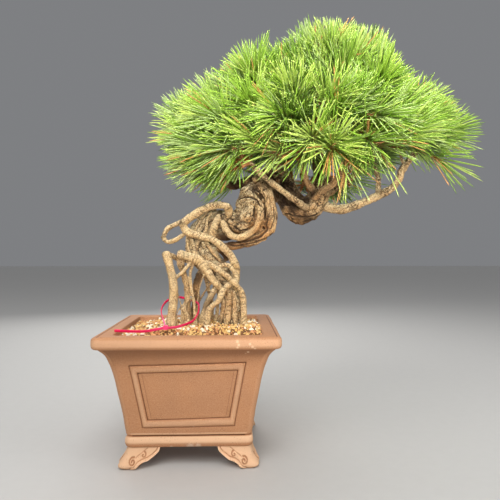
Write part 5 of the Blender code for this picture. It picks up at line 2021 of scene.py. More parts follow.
@dataclass
class WoodPiece:
    """Limbs fused into one skin, with the relief of their bark and the marks its colours read."""

    name: str
    limbs: list[Limb]
    finish: BarkFinish
    slot: str
    nodes: list[str]
    voxel: float
    seed: int
    smooth_steps: int
    around: list[Limb]
    crevice: tuple = (1.8, -1.2)
    crevice_shade: float = 0.8
    hollow_shade: float = 0.55
    crest_light: float = 0.25
    slim_radius: float = 1.6
    slim_relief: float = 0.7

    def fused(self) -> Shape:
        """Fuses the limbs' tubes into one skin of even quads.

        Returns:
            The closed shape.
        """
        random = Random(self.seed)
        tubes = join([limb.tube(14, random) for limb in self.limbs])
        obj = add_piece(self.name + " tubes", tubes, self.finish.make())
        remesh = obj.modifiers.new("fuse", "REMESH")
        remesh.mode = "VOXEL"
        remesh.voxel_size = self.voxel * MM
        remesh.adaptivity = 0.0
        smooth = obj.modifiers.new("smooth", "SMOOTH")
        smooth.factor = 0.5
        smooth.iterations = self.smooth_steps
        apply_modifiers(obj)
        shape = read_shape(obj.data)
        drop(obj)
        return shape.facing_out()

    def locate(self, points: np.ndarray) -> Surroundings:
        """Finds the limb nearest to each point, and where on it the point lies.

        Args:
            points: Points on the skin.

        Returns:
            Where they lie.
        """
        lines = np.vstack([limb.line for limb in self.limbs])
        ahead = np.vstack([limb.ahead for limb in self.limbs])
        side = np.vstack([limb.side for limb in self.limbs])
        length = np.concatenate([limb.length for limb in self.limbs])
        number = np.concatenate([np.full(len(limb.line), i) for i, limb in enumerate(self.limbs)])
        nearest = np.empty(len(points), np.int64)
        beside = np.empty(len(points))
        for start in range(0, len(points), BATCH):
            part = points[start : start + BATCH]
            apart = np.linalg.norm(part[:, None] - lines[None, :, :3], axis=2) - lines[None, :, 3]
            best = apart.argmin(axis=1)
            nearest[start : start + BATCH] = best
            apart[number[None, :] == number[best][:, None]] = 99.0
            beside[start : start + BATCH] = apart.min(axis=1)
        beside = np.minimum(beside, self.gap_to_others(points))
        away = points - lines[nearest, :3]
        up = np.cross(ahead[nearest], side[nearest])
        over = np.einsum("ij,ij->i", away, up)
        across = np.einsum("ij,ij->i", away, side[nearest])
        along = length[nearest] + np.einsum("ij,ij->i", away, ahead[nearest])
        return Surroundings(
            points, number[nearest], along, np.arctan2(over, across), lines[nearest, 3], beside
        )

    def gap_to_others(self, points: np.ndarray) -> np.ndarray:
        """Gives how far the limbs of the other pieces are from each point.

        Args:
            points: Points on the skin.

        Returns:
            The distances in mm, below zero inside such a limb.
        """
        lines = np.vstack([limb.line[::2] for limb in self.around])
        gap = np.full(len(points), 9.0)
        low, high = lines[:, :3].min(0) - 20, lines[:, :3].max(0) + 20
        near = np.flatnonzero(((points > low) & (points < high)).all(axis=1))
        for part in np.array_split(near, max(len(near) // BATCH, 1)):
            apart = np.linalg.norm(points[part][:, None] - lines[None, :, :3], axis=2) - lines[None, :, 3]
            gap[part] = apart.min(axis=1)
        return gap

    def barks(self, spots: Surroundings) -> list[tuple[Bark, np.ndarray]]:
        """Sorts the points by their bark.

        Args:
            spots: Where the points lie.

        Returns:
            Each kind of bark with the numbers of its points.
        """
        barks = list(Bark)
        kinds = np.array([barks.index(limb.bark) for limb in self.limbs])[spots.limb]
        low_knee = (kinds == barks.index(Bark.KNEE)) & (spots.points[:, 2] < COLUMN_TOP)
        kinds = np.where(low_knee, barks.index(Bark.COLUMN), kinds)
        return [(barks[kind], np.flatnonzero(kinds == kind)) for kind in np.unique(kinds)]

    def make(self) -> None:
        """Makes the piece and dresses it."""
        shape = self.fused()
        spots = self.locate(shape.points)
        count = len(shape.points)
        out, cavity, pale, warm = (np.zeros(count) for _ in range(4))
        for bark, chosen in self.barks(spots):
            out[chosen], cavity[chosen] = bark.value.read(spots.pick(chosen), self.seed)
            pale[chosen] = bark.value.paleness
            warm[chosen] = bark.value.warmth
        for spot in TONE_SPOTS:
            near = spot.near(shape.points)
            pale += spot.paleness * near
            warm += spot.warmth * near
        # Painted shade where the limbs come near each other or near the limbs of the other pieces.
        cavity = np.maximum(cavity, self.crevice_shade * ease(spots.beside, *self.crevice))
        # Slits are cut in and painted dark, as shade in them.
        for slit in SLITS:
            mark = slit.mark(shape.points)
            out -= slit.depth * mark
            cavity = np.maximum(cavity, mark)
        edges = self.edges(shape)
        for _ in range(2):
            pale, warm = self.blend(pale, edges), self.blend(warm, edges)
        # Painted shade in the relief's hollows, and painted highlight on its crests.
        cavity = np.maximum(cavity, self.hollow_shade * ease(-out, 0.2, 1.7))
        pale += self.crest_light * ease(out, 0.1, 1.6)
        ragged = 0.72 + 0.28 * ease(soft_noise(shape.points, 5.0, self.seed), -0.7, 0.2)
        for spot in DARK_SPOTS:
            cavity = np.maximum(cavity, spot.darkness * spot.near(shape.points) * ragged)
        out = self.blend(out, edges, 0.3)
        cavity = self.blend(cavity, edges, 0.2)
        points = shape.points + self.normals(shape) * out[:, None]
        slim = 1 - (spots.radius < self.slim_radius) * self.slim_relief
        points = shape.points + (points - shape.points) * slim[:, None]
        marks = {
            "cavity": 0.97 * (1 - (1 - np.clip(cavity, 0, 1)) ** 1.5),
            "paleness": np.clip(pale, 0, 1),
            "warmth": np.clip(warm, 0, 1),
        }
        piece = add_piece(self.name, Shape(points, shape.faces), self.finish.make(), marks)
        hand_over(piece, self.slot, self.nodes)

    @staticmethod
    def edges(shape: Shape) -> np.ndarray:
        """Gives the pairs of points that a face's side joins.

        Args:
            shape: The shape.

        Returns:
            Two point numbers a side.
        """
        pairs = []
        for group in shape.faces:
            wide = group.shape[1]
            pairs += [np.stack([group[:, k], group[:, (k + 1) % wide]], axis=-1) for k in range(wide)]
        return np.vstack(pairs)

    @staticmethod
    def blend(values: np.ndarray, edges: np.ndarray, share: float = 0.6) -> np.ndarray:
        """Blends each point's value with its neighbours'.

        Args:
            values: One value a point.
            edges: Pairs of neighbours.
            share: How much of the neighbours' mean is taken.

        Returns:
            The blended values.
        """
        total = np.bincount(edges[:, 0], values[edges[:, 1]], len(values))
        total += np.bincount(edges[:, 1], values[edges[:, 0]], len(values))
        number = np.bincount(edges.ravel(), minlength=len(values))
        return values * (1 - share) + share * total / np.maximum(number, 1)

    @staticmethod
    def normals(shape: Shape) -> np.ndarray:
        """Gives the outward normal at each point.

        Args:
            shape: The shape.

        Returns:
            One normal a point, each one long.
        """
        total = np.zeros_like(shape.points)
        for group in shape.faces:
            corners = shape.points[group]
            cross = np.cross(corners[:, 2] - corners[:, 0], corners[:, -1] - corners[:, 1])
            for k in range(group.shape[1]):
                for axis in range(3):
                    total[:, axis] += np.bincount(group[:, k], cross[:, axis], len(total))
        return unit(total + 1e-12)


@dataclass
class Wood:
    """All the wood below the twigs: trunk, bared roots and boughs."""

    trunk: list[Limb] = field(default_factory=list)
    roots: list[Limb] = field(default_factory=list)
    rootlets: list[Limb] = field(default_factory=list)
    boughs: dict[str, Limb] = field(default_factory=dict)

    def __post_init__(self) -> None:
        """Reads the limbs from their routes."""
        self.trunk = [
            Limb(f"trunk_{number}", route, bark)
            for number, (route, bark) in enumerate(zip(TRUNK_ROUTES, TRUNK_BARKS))
        ]
        self.roots = [
            Limb(name, route, ROOT_BARKS.get(name, Bark.ROOT)) for name, route in ROOT_ROUTES.items()
        ]
        self.rootlets = [Limb("rootlet", route, Bark.ROOT) for route in ROOTLET_ROUTES]
        self.rootlets += [Limb("band strand", route, Bark.BAND) for route in BAND_ROUTES]
        self.boughs = {
            name: Limb(name, route, BOUGH_BARKS.get(name, Bark.BOUGH)) for name, route in BOUGH_ROUTES.items()
        }

    def limbs(self) -> list[Limb]:
        """Gives every limb."""
        return self.trunk + self.roots + self.rootlets + list(self.boughs.values())

    def make(self) -> None:
        """Makes the three pieces of wood and dresses them."""
        boughs = list(self.boughs.values())
        roots = self.roots + self.rootlets
        pieces = (
            ("knotted_trunk", self.trunk, TRUNK_BARK, "bark", ["trunk"], 0.85, 41, 3, roots + boughs),
            ("bared_roots", roots, ROOT_BARK, "root_bark", list(ROOT_ROUTES), 1.0, 42, 2, self.trunk),
            ("boughs", boughs, BOUGH_BARK, "bark", list(BOUGH_ROUTES), 0.85, 43, 2, self.trunk),
        )
        for values in pieces:
            WoodPiece(*values).make()


@dataclass(frozen=True)
class Mass:
    """One mass of needles: its middle, its half sizes and the limb that carries it."""

    name: str
    middle: tuple
    half: tuple
    limb: str


MASSES = (
    Mass("mass_left_front", (22, -44, 434), (90, 82, 90), "bough_left_front"),
    Mass("mass_left_back", (26, 60, 444), (82, 84, 76), "bough_left_back"),
    Mass("mass_top_left", (86, 2, 502), (86, 84, 77), "bough_top_left"),
    Mass("mass_front", (140, -92, 442), (86, 76, 84), "bough_front"),
    Mass("mass_back", (142, 96, 470), (90, 76, 76), "bough_back"),
    Mass("mass_top", (190, 0, 538), (94, 92, 70), "trunk"),
    Mass("mass_front_right", (246, -88, 448), (88, 80, 86), "bough_middle"),
    Mass("mass_back_right", (264, 90, 468), (88, 80, 78), "bough_middle_back"),
    Mass("mass_right", (342, -18, 430), (76, 88, 90), "bough_right"),
    Mass("mass_top_right", (280, 6, 498), (88, 90, 84), "bough_right_inner"),
)
CROWN_MIDDLE = np.array([180.0, 0.0, 395.0])
CROWN_FRONT, CROWN_BACK = -167.0, 164.0
FRONT_EYE = (57.0, -717.0, 271.0)
CROWN_OUTLINE = np.array(
    [
        (-66, 456), (-62, 478), (-37, 496), (-14, 512), (13, 528), (40, 542), (65, 563), (91, 573),
        (114, 583), (140, 594), (164, 608), (194, 603), (223, 602), (266, 601), (280, 578), (289, 552),
        (302, 538), (324, 531), (346, 524), (358, 507), (384, 489), (403, 467), (422, 456), (431, 446),
        (429, 426), (413, 397),
        (409, 372), (377, 365), (353, 352), (321, 339), (304, 328), (284, 349), (255, 354), (223, 348),
        (194, 345), (165, 350), (137, 357), (108, 368), (82, 376), (65, 372), (45, 355), (26, 335),
        (7, 341), (-11, 349), (-32, 364), (-49, 381), (-59, 401), (-66, 429),
    ],
    float,
)


def front_view(points: np.ndarray) -> np.ndarray:
    """Gives where the front view shows points, as x and z on the plane through the pot's middle.

    Args:
        points: The points, in mm.

    Returns:
        Their x and z there, in mm.
    """
    eye = np.array(FRONT_EYE)
    ahead = (points[:, 1:2] - eye[1]) / -eye[1]
    return eye[[0, 2]] + (points[:, [0, 2]] - eye[[0, 2]]) / ahead


def outline_depth(points: np.ndarray) -> np.ndarray:
    """How far each point shows inside the outline of the crown's front view.

    Args:
        points: Points in mm.

    Returns:
        The depths in mm, below 0 outside it.
    """
    ahead = 1 - points[:, 1] / FRONT_EYE[1]
    shown = front_view(points)
    nearest = np.full(len(points), np.inf)
    inside = np.zeros(len(points), bool)
    for foot, end in zip(CROWN_OUTLINE, np.roll(CROWN_OUTLINE, -1, axis=0)):
        side = end - foot
        nearest = np.minimum(nearest, np.linalg.norm(off_segment(shown, foot, end), axis=1))
        crosses = (foot[1] > shown[:, 1]) != (end[1] > shown[:, 1])
        level = (shown[:, 1] - foot[1]) * side[0] / (side[1] or 1) + foot[0]
        inside ^= crosses & (shown[:, 0] < level)
    return np.where(inside, nearest, -nearest) * ahead


def crown_depth(points: np.ndarray, free: float | np.ndarray = 0.0) -> np.ndarray:
    """How far each point lies inside the crown: inside a mass and inside the outline.

    Args:
        points: Points in mm.
        free: How far outside every mass a point still counts as on its surface.

    Returns:
        The depths in mm.
    """
    depths = np.full(len(points), -999.0)
    for mass in MASSES:
        reach = np.linalg.norm((points - np.array(mass.middle)) / np.array(mass.half), axis=1)
        depths = np.maximum(depths, (1 - reach) * min(mass.half))
    depths = np.minimum(depths + free, outline_depth(points))
    return np.minimum(depths, np.minimum(points[:, 1] - CROWN_FRONT, CROWN_BACK - points[:, 1]))


def growth_way(points: np.ndarray) -> np.ndarray:
    """The way that shoots head at each point: out from the trunk and up, but down at the left's foot.

    Args:
        points: Points in mm.

    Returns:
        The ways, each one long.
    """
    away = unit(points - CROWN_MIDDLE)
    high = ease(points[:, 2], 385, 470)
    right = ease(points[:, 0], 150, 300)
    away[:, 2] += -0.3 + 0.65 * high + 0.4 * right * (1 - high)
    return unit(away)


class WoodRoom:
    """Tells how far points are from the limbs."""

    batch = 6000  # points measured at a time

    def __init__(self, limbs: Sequence[Limb]) -> None:
        """Takes the limbs' centre lines, read every 3 mm.

        Args:
            limbs: The limbs.
        """
        lines = np.vstack([limb.line[::2] for limb in limbs])
        self.points = lines[:, :3].astype(np.float32)
        self.radii = lines[:, 3].astype(np.float32)

    def apart(self, points: np.ndarray) -> np.ndarray:
        """Gives each point's distance from the nearest limb's surface.

        Args:
            points: The points, in mm.

        Returns:
            The distances, below 0 inside a limb.
        """
        found = np.empty(len(points))
        for start in range(0, len(points), self.batch):
            part = points[start : start + self.batch].astype(np.float32)
            cross = part @ self.points.T
            squares = (part**2).sum(axis=1)[:, None] + (self.points**2).sum(axis=1)[None] - 2 * cross
            found[start : start + self.batch] = (np.sqrt(np.maximum(squares, 0)) - self.radii).min(axis=1)
        return found


class Tint(Enum):
    """The shades that sprays of needles are dealt out in."""

    SPRING = ("spring_needles", srgb(190, 212, 96), srgb(204, 222, 122))
    BRIGHT = ("bright_needles", srgb(156, 194, 62), srgb(174, 206, 88))
    PALE = ("pale_needles", srgb(176, 200, 112), srgb(192, 214, 138))
    DEEP = ("deep_needles", srgb(124, 162, 44), srgb(144, 178, 64))
    SHADED = ("shaded_needles", srgb(76, 104, 24), srgb(94, 122, 38))
    OLD = ("old_needles", srgb(206, 146, 76), srgb(222, 172, 104))


TINTS = list(Tint)


@dataclass
class Shoot:
    """The leafy end of a twig: how its needles are spread, and their tint."""

    place: np.ndarray
    axis: np.ndarray
    length: float
    tint: int
    pairs: int
    spread: float
    free: float = 0.0


@dataclass(frozen=True)
class Star:
    """A shoot that the front view shows whole."""

    mass: str
    place: tuple
    axis: tuple
    pairs: int
    spread: float
    tint: Tint
    length: float = 22.0
    free: float = 60.0

    def shoot(self) -> Shoot:
        """Gives the shoot, whose needles may stand further out of every mass than others."""
        place, axis = np.array(self.place, float), unit(np.array(self.axis, float))
        return Shoot(place, axis, self.length, TINTS.index(self.tint), self.pairs, self.spread, self.free)


STARS = (
    Star("mass_front", (175, -97, 401), (0.0, -1.0, -0.12), 44, 80.0, Tint.SPRING),
    Star("mass_front_right", (233, -84, 467), (0.35, -0.6, 0.7), 42, 64.0, Tint.BRIGHT),
    Star("mass_top", (185, -46, 524), (0.08, -0.4, 0.9), 42, 54.0, Tint.SPRING),
    Star("mass_top_left", (89, -44, 489), (-0.35, -0.45, 0.8), 40, 56.0, Tint.BRIGHT),
    Star("mass_left_front", (66, -76, 402), (-0.85, -0.5, -0.1), 42, 58.0, Tint.PALE),
    Star("mass_right", (327, -24, 407), (0.85, -0.2, -0.5), 13, 52.0, Tint.DEEP),
    Star("mass_back", (150, 58, 372), (-0.1, 0.3, -0.6), 40, 85.0, Tint.SHADED),
    Star("mass_back", (182, 58, 370), (0.1, 0.3, -0.6), 40, 85.0, Tint.DEEP),
    Star("mass_back_right", (208, 66, 372), (0.2, 0.3, -0.6), 36, 85.0, Tint.SHADED),
    Star("mass_back", (112, 60, 390), (-0.3, 0.3, -0.6), 36, 85.0, Tint.DEEP),
    Star("mass_back", (118, 56, 386), (-0.3, 0.2, -0.5), 40, 80.0, Tint.DEEP),
    Star("mass_back", (146, 52, 384), (0.0, 0.3, -0.6), 40, 85.0, Tint.SHADED),
    Star("mass_back", (170, 60, 380), (0.1, 0.2, -0.6), 40, 85.0, Tint.SHADED),
    Star("mass_back", (132, 84, 378), (-0.1, 0.5, -0.5), 36, 80.0, Tint.DEEP),
    Star("mass_back_right", (206, 58, 388), (0.1, 0.2, -0.6), 42, 85.0, Tint.SHADED),
    Star("mass_back_right", (232, 72, 392), (0.3, 0.4, -0.5), 38, 80.0, Tint.DEEP),
    Star("mass_left_back", (62, 74, 386), (-0.3, 0.5, -0.4), 36, 75.0, Tint.DEEP),
    Star("mass_back", (128, 34, 370), (-0.3, -0.3, -0.9), 10, 50.0, Tint.SHADED),
    Star("mass_back", (150, 44, 366), (0.1, -0.4, -0.9), 10, 50.0, Tint.SHADED),
    Star("mass_back", (172, 46, 368), (0.3, -0.3, -0.9), 10, 50.0, Tint.SHADED),
    Star("mass_front", (196, -84, 396), (0.2, -0.5, -0.8), 14, 40.0, Tint.SPRING),
    Star("mass_front_right", (244, -70, 404), (0.3, -0.4, -0.8), 10, 45.0, Tint.BRIGHT),
)


BARE_TWIGS = (
    ("mass_left_front", ((78, -45, 391, 3.4), (68, -47, 385, 2.8), (56, -48, 381, 2.3), (44, -50, 380, 1.6))),
    ("mass_left_front", ((70, -46, 386, 2.2), (62, -52, 394, 1.6), (52, -58, 398, 1.3))),
    ("mass_back", ((150, 30, 356, 3.0), (160, 40, 372, 2.4), (158, 46, 392, 1.8))),
    ("mass_back", ((140, 34, 364, 2.4), (126, 40, 376, 1.8), (118, 42, 392, 1.4))),
    ("mass_back", ((176, 24, 352, 2.6), (186, 34, 366, 2.0), (196, 40, 384, 1.5))),
    ("mass_back", ((166, 34, 362, 2.0), (172, 36, 378, 1.6), (182, 38, 392, 1.2))),
)
OPENINGS = (
    (259, 386, 9, 34, 0.8), (236, 366, 18, 14, 0.7), (284, 370, 16, 22, 0.75), (301, 404, 17, 19, 0.92),
    (276, 424, 12, 8, 0.7), (101, 408, 16, 11, 0.55), (172, 372, 10, 14, 0.5),
)


@dataclass
class Crown:
    """Twigs, shoots, buds and needles that grow on from the boughs, mass by mass."""

    wood: Wood
    shoots_a_mass: int = 20
    tries: int = 6000
    reach: float = 77.0
    shell: tuple = (-4.0, 12.0)
    inside: tuple = (12.0, 55.0)
    inner_share: float = 0.36
    least_depth: float = 14.0
    side_room: float = 3.0
    limb_room: float = 7.0
    twig_room: float = 1.6
    needle_room: float = 0.9
    floor_line: tuple = (
        (-66, 398), (0, 384), (60, 386), (110, 396), (200, 400), (270, 414), (320, 430), (428, 436),
    )
    back_drop: float = 34.0
    stem: float = 20.0
    twig_tip: float = 0.95
    twig_kink: float = 2.2
    twig_sag: float = 1.5
    twig_choices: int = 8
    pairs: tuple = (40, 54)
    spread: tuple = (46.0, 76.0)
    tip_lean: float = 12.0
    uneven_lean: float = 12.5
    shoot_length: tuple = (18.0, 28.0)
    needle_length: tuple = (52.0, 66.0)
    needle_radius: float = 0.82
    pair_angle: float = math.radians(8.5)
    stray: tuple = (-5.0, 10.0)
    old_share: float = 0.02
    mixed_share: float = 0.55
    mixed_tints: tuple = (0.2, 0.3, 0.15, 0.28, 0.07)
    seed: int = 7
    shoots: list[Shoot] = field(default_factory=list)
    twigs: list[Shape] = field(default_factory=list)

    def __post_init__(self) -> None:
        """Measures the room round the limbs."""
        self.room = WoodRoom(self.wood.limbs())
        self.limbs = dict(self.wood.boughs)
        self.limbs["trunk"] = self.wood.trunk[-1]

    def beside(self, mass: Mass, points: np.ndarray) -> np.ndarray:
        """How far each point is from the planes to the masses beside this one.

        Args:
            mass: The mass.
            points: The points, in mm.

        Returns:
            The distance to the nearest plane, below 0 past it.
        """
        middle = np.array(mass.middle, float)
        depths = []
        for other in MASSES:
            if other is not mass:
                step = np.array(other.middle, float) - middle
                normal = step / np.linalg.norm(step)
                depths.append((middle + step / 2 - points) @ normal)
        return np.min(depths, axis=0)

    def above_floor(self, points: np.ndarray) -> np.ndarray:
        """Tells which points lie above the height that shoots start from, lower behind the trunk.

        Args:
            points: The points, in mm.

        Returns:
            True for each point above it.
        """
        floor = np.interp(points[:, 0], *zip(*self.floor_line))
        behind = ease(points[:, 1], 5, 30) * ease(points[:, 0], 275, 225)
        return points[:, 2] > floor - self.back_drop * behind

    def places(self, mass: Mass, random: Random) -> tuple[np.ndarray, np.ndarray]:
        """Picks evenly spread places for shoots whose needles just reach the crown's outline.

        Args:
            mass: The mass that they grow in.
            random: Source of random numbers.

        Returns:
            The places, and which of them lie deeper inside.
        """
        tries = np.array(mass.middle) + random.uniform(-1.15, 1.15, (self.tries, 3)) * np.array(mass.half)
        tries = tries[(self.beside(mass, tries) > self.side_room) & self.above_floor(tries)]
        tries = tries[(crown_depth(tries) > self.least_depth) & (self.room.apart(tries) > self.limb_room)]
        reached = crown_depth(tries + growth_way(tries) * self.reach)
        picked: list[np.ndarray] = []
        deep: list[bool] = []
        taken = [shoot.place for shoot in self.shoots]
        inner = int(round(self.shoots_a_mass * self.inner_share))
        for span, count in ((self.shell, self.shoots_a_mass - inner), (self.inside, inner)):
            pool = tries[(reached > span[0]) & (reached < span[1])]
            if not len(pool):
                continue
            apart = np.full(len(pool), 90.0)
            for place in taken + picked:
                apart = np.minimum(apart, np.linalg.norm(pool - place, axis=1))
            for _ in range(count):
                best = int((apart * random.uniform(0.8, 1.0, len(pool))).argmax())
                picked.append(pool[best])
                deep.append(span is self.inside)
                apart = np.minimum(apart, np.linalg.norm(pool - pool[best], axis=1))
        return np.array(picked), np.array(deep)

    def grow(self, mass: Mass, random: Random) -> None:
        """Grows one mass's twigs from its bough and sets a shoot on each.

        Args:
            mass: The mass.
            random: Source of random numbers.
        """
        limb = self.limbs[mass.limb]
        rise = unit(limb.heading + 0.35 * growth_way(limb.tip[None])[0])
        joints = [(limb.tip - limb.heading * 3, None), (limb.tip + limb.heading * 6, 0)]
        joints.append((joints[1][0] + rise * (self.stem - 6), 1))
        places, deep = self.places(mass, random)
        order = np.argsort(np.linalg.norm(places - joints[2][0], axis=1))
        shoots = [self.shoot_at(places[k], bool(deep[k]), random) for k in order]
        shoots += [star.shoot() for star in STARS if star.mass == mass.name]
        ends = []
        for shoot in shoots:
            found = self.foot_of(joints, shoot.place)
            if found is None:
                if shoot.free:
                    LOG.info("star left out at %s", shoot.place)
                continue
            foot = joints[found][0]
            middle = (foot + shoot.place) / 2 + random.normal(0, self.twig_kink, 3)
            joints.append((middle - np.array([0, 0, self.twig_sag]), found))
            joints.append((shoot.place, len(joints) - 1))
            ends.append(len(joints) - 1)
            self.shoots.append(shoot)
        self.add_twigs(joints, ends, float(limb.line[-1, 3]))
        for name, route in BARE_TWIGS:
            if name == mass.name:
                self.twigs.append(Limb("bare twig", route, Bark.INNER, 2.5).tube(8, random))

    def shoot_at(self, place: np.ndarray, deep: bool, random: Random) -> Shoot:
        """Makes the shoot at a place.

        Args:
            place: Its place.
            deep: Whether it lies inside, in the shade.
            random: Source of random numbers.

        Returns:
            The shoot.
        """
        axis = unit(growth_way(place[None])[0] + random.normal(0, 0.32, 3))
        return Shoot(
            place,
            axis,
            random.uniform(*self.shoot_length),
            self.tint_at(place, deep, random),
            random.randint(*self.pairs),
            random.uniform(*self.spread),
        )

    def foot_of(self, joints: list, place: np.ndarray) -> int | None:
        """Picks the older joint that a new twig starts from.

        Args:
            joints: Joints so far, as point and parent.
            place: Where the twig ends.

        Returns:
            The joint's number, or None where no way there is clear of the limbs.
        """
        points = np.array([point for point, _ in joints[2:]])
        parents = np.array([joints[parent][0] for _, parent in joints[2:]])
        steps = place - points
        far = np.linalg.norm(steps, axis=1)
        turn = 1 - np.einsum("ij,ij->i", unit(points - parents), steps / np.maximum(far, 0.1)[:, None])
        for index in np.argsort(far * (1 + 0.6 * turn))[: self.twig_choices]:
            line = np.linspace(points[index], place, 9)[1:]
            if (self.room.apart(line) > self.twig_room).all():
                return int(index) + 2
        return None

    def tint_at(self, place: np.ndarray, deep: bool, random: Random) -> int:
        """Deals a shoot its tint, with broad drifts over the crown.

        Args:
            place: The shoot's place.
            deep: Whether it lies inside, in the shade.
            random: Source of random numbers.

        Returns:
            Number of the tint.
        """
        drift = float(soft_noise(place[None], 55.0, 17)[0]) * 0.5
        left = float(ease(place[:1], 90.0, 0.0)[0])
        low = float(ease(place[2:], 430.0, 370.0)[0])
        # Shoots inside the crown mostly get the deep and shaded tints, as painted shade.
        if deep:
            wishes = (0.1, 0.3, 0.1, 1.0, 1.3)
        else:
            wishes = (0.9 + drift, 1.1 - drift, 0.4 + 0.7 * left + 0.3 * low, 0.5 + 0.4 * low, 0.1)
        shares = np.array(wishes) / sum(wishes)
        return int(random.choice(len(wishes), p=shares))

    def add_twigs(self, joints: list, ends: list[int], thick: float) -> None:
        """Adds the stem and twigs as tapering tubes.

        Args:
            joints: Every joint, as point and parent.
            ends: The joints that twigs end at.
            thick: Radius of the limb that the stem grows on from.
        """
        carried = [0] * len(joints)
        for end in ends:
            at = end
            while at is not None:
                carried[at] += 1
                at = joints[at][1]
        radii = [self.twig_tip * max(count, 1) ** 0.42 for count in carried]
        random = Random(self.seed + len(self.shoots))
        first = [(*joints[k][0], r) for k, r in ((0, thick), (1, thick), (2, min(thick, radii[2])))]
        self.twigs.append(Limb("stem", tuple(first), Bark.INNER, 2.5).tube(8, random))
        for end in ends:
            middle = joints[end][1]
            parent = joints[middle][1]
            start = min(radii[parent], radii[middle] * 1.35, thick)
            stops = ((parent, start), (middle, radii[middle]), (end, radii[end]))
            route = tuple((*joints[k][0], radius) for k, radius in stops)
            self.twigs.append(Limb("twig", route, Bark.INNER, 3.0).tube(6, random))

    def needle_lines(self, random: Random) -> dict[str, np.ndarray]:
        """Works out foot, heading, length, bend, tint and stray of every needle.

        Args:
            random: Source of random numbers.

        Returns:
            Arrays with one row a needle, first all the left ones of the pairs and then the right ones.
        """
        counts = np.array([shoot.pairs for shoot in self.shoots])
        owner = np.repeat(np.arange(len(counts)), counts)
        total = len(owner)
        rank = np.arange(total) - np.repeat(np.cumsum(counts) - counts, counts)
        place, axis, core, tint, spread, free = (
            np.array([getattr(shoot, name) for shoot in self.shoots])[owner]
            for name in ("place", "axis", "length", "tint", "spread", "free")
        )
        share = np.clip((rank + 0.5) / counts[owner] + random.uniform(-0.02, 0.02, total), 0, 1)
        side = unit(np.cross(axis, (0.21, 0.35, 0.91)))
        up = np.cross(axis, side)
        turn = rank * GOLDEN_ANGLE + random.normal(0, 0.3, total)
        turn += random.uniform(0, 6.28, len(counts))[owner]
        out = side * np.cos(turn)[:, None] + up * np.sin(turn)[:, None]
        lean = spread + (self.tip_lean - spread) * share**0.85 + random.normal(0, self.uneven_lean, total)
        lean = np.radians(lean)
        heading = axis * np.cos(lean)[:, None] + out * np.sin(lean)[:, None]
        foot = place + axis * (core * share)[:, None] + out * 1.1
        full = random.uniform(*self.needle_length, len(counts))[owner]
        stray = random.uniform(*self.stray, len(counts))[owner] + random.uniform(-3, 5, total)
        other = random.uniform(0, 1, total) < self.mixed_share
        tint = np.where(other, random.choice(5, total, p=self.mixed_tints), tint)
        old = self.old_share + 0.1 * ease(place[:, 2], 410.0, 390.0)
        tint = np.where(random.uniform(0, 1, total) < old, TINTS.index(Tint.OLD), tint)
        across = unit(np.cross(heading, unit(random.normal(size=(total, 3)))))
        halves = []
        for hand in (-1, 1):
            angle = self.pair_angle * hand * random.uniform(0.3, 1.2, total)
            pointing = unit(heading * np.cos(angle)[:, None] + across * np.sin(angle)[:, None])
            length = full * random.uniform(0.84, 1.06, total)
            level = np.linalg.norm(pointing[:, :2], axis=1)
            bend = unit(random.normal(size=(total, 3))) * (length * random.uniform(0, 0.035, total))[:, None]
            bend[:, 2] -= length * random.uniform(0.01, 0.10, total) * level
            half = {"heading": pointing, "length": length, "bend": bend, "tint": tint, "sheath": heading}
            half |= {"foot": foot + across * hand * 0.35, "stray": stray, "free": free}
            halves.append(half | {"first": np.full(total, hand < 0)})
        return {name: np.concatenate([half[name] for half in halves]) for name in halves[0]}

    def fit(self, rows: dict[str, np.ndarray]) -> dict[str, np.ndarray]:
        """Shortens needles to the crown's outline and drops those that would touch a limb.

        Args:
            rows: The needles.

        Returns:
            The needles that are left.
        """
        best = np.zeros(len(rows["length"]))
        for share in (0.6, 0.7, 0.8, 0.9, 1.0):
            depth = crown_depth(self.at(rows, share), rows["free"])
            best = np.where(depth > -rows["stray"], share, best)
        keep = best > 0
        luck = Random(self.seed + 200).uniform(0, 1, len(keep))
        for share in (0.2, 0.4, 0.6, 0.8, 1.0):
            points = self.at(rows, share * best)
            shown = front_view(points)
            for x, z, wide, tall, cleared in OPENINGS:
                near = np.hypot((shown[:, 0] - x) / wide, (shown[:, 1] - z) / tall) < 1
                keep &= ~(near & (luck < cleared) & (points[:, 1] < 20))
        for share in (0.3, 0.5, 0.7, 0.85, 1.0):
            keep &= self.room.apart(self.at(rows, share * np.maximum(best, 0.5))) > self.needle_room
        rows["length"] = rows["length"] * best
        rows["bend"] = rows["bend"] * (best**2)[:, None]
        return {name: values[keep] for name, values in rows.items()}

    @staticmethod
    def at(rows: dict[str, np.ndarray], share: float | np.ndarray) -> np.ndarray:
        """Gives the point at a share of each needle's length.

        Args:
            rows: The needles.
            share: The share, one for all or one a needle.

        Returns:
            One point a needle.
        """
        share = np.broadcast_to(np.asarray(share, float), rows["length"].shape)
        along = rows["heading"] * (rows["length"] * share)[:, None]
        return rows["foot"] + along + rows["bend"] * (share**2)[:, None]

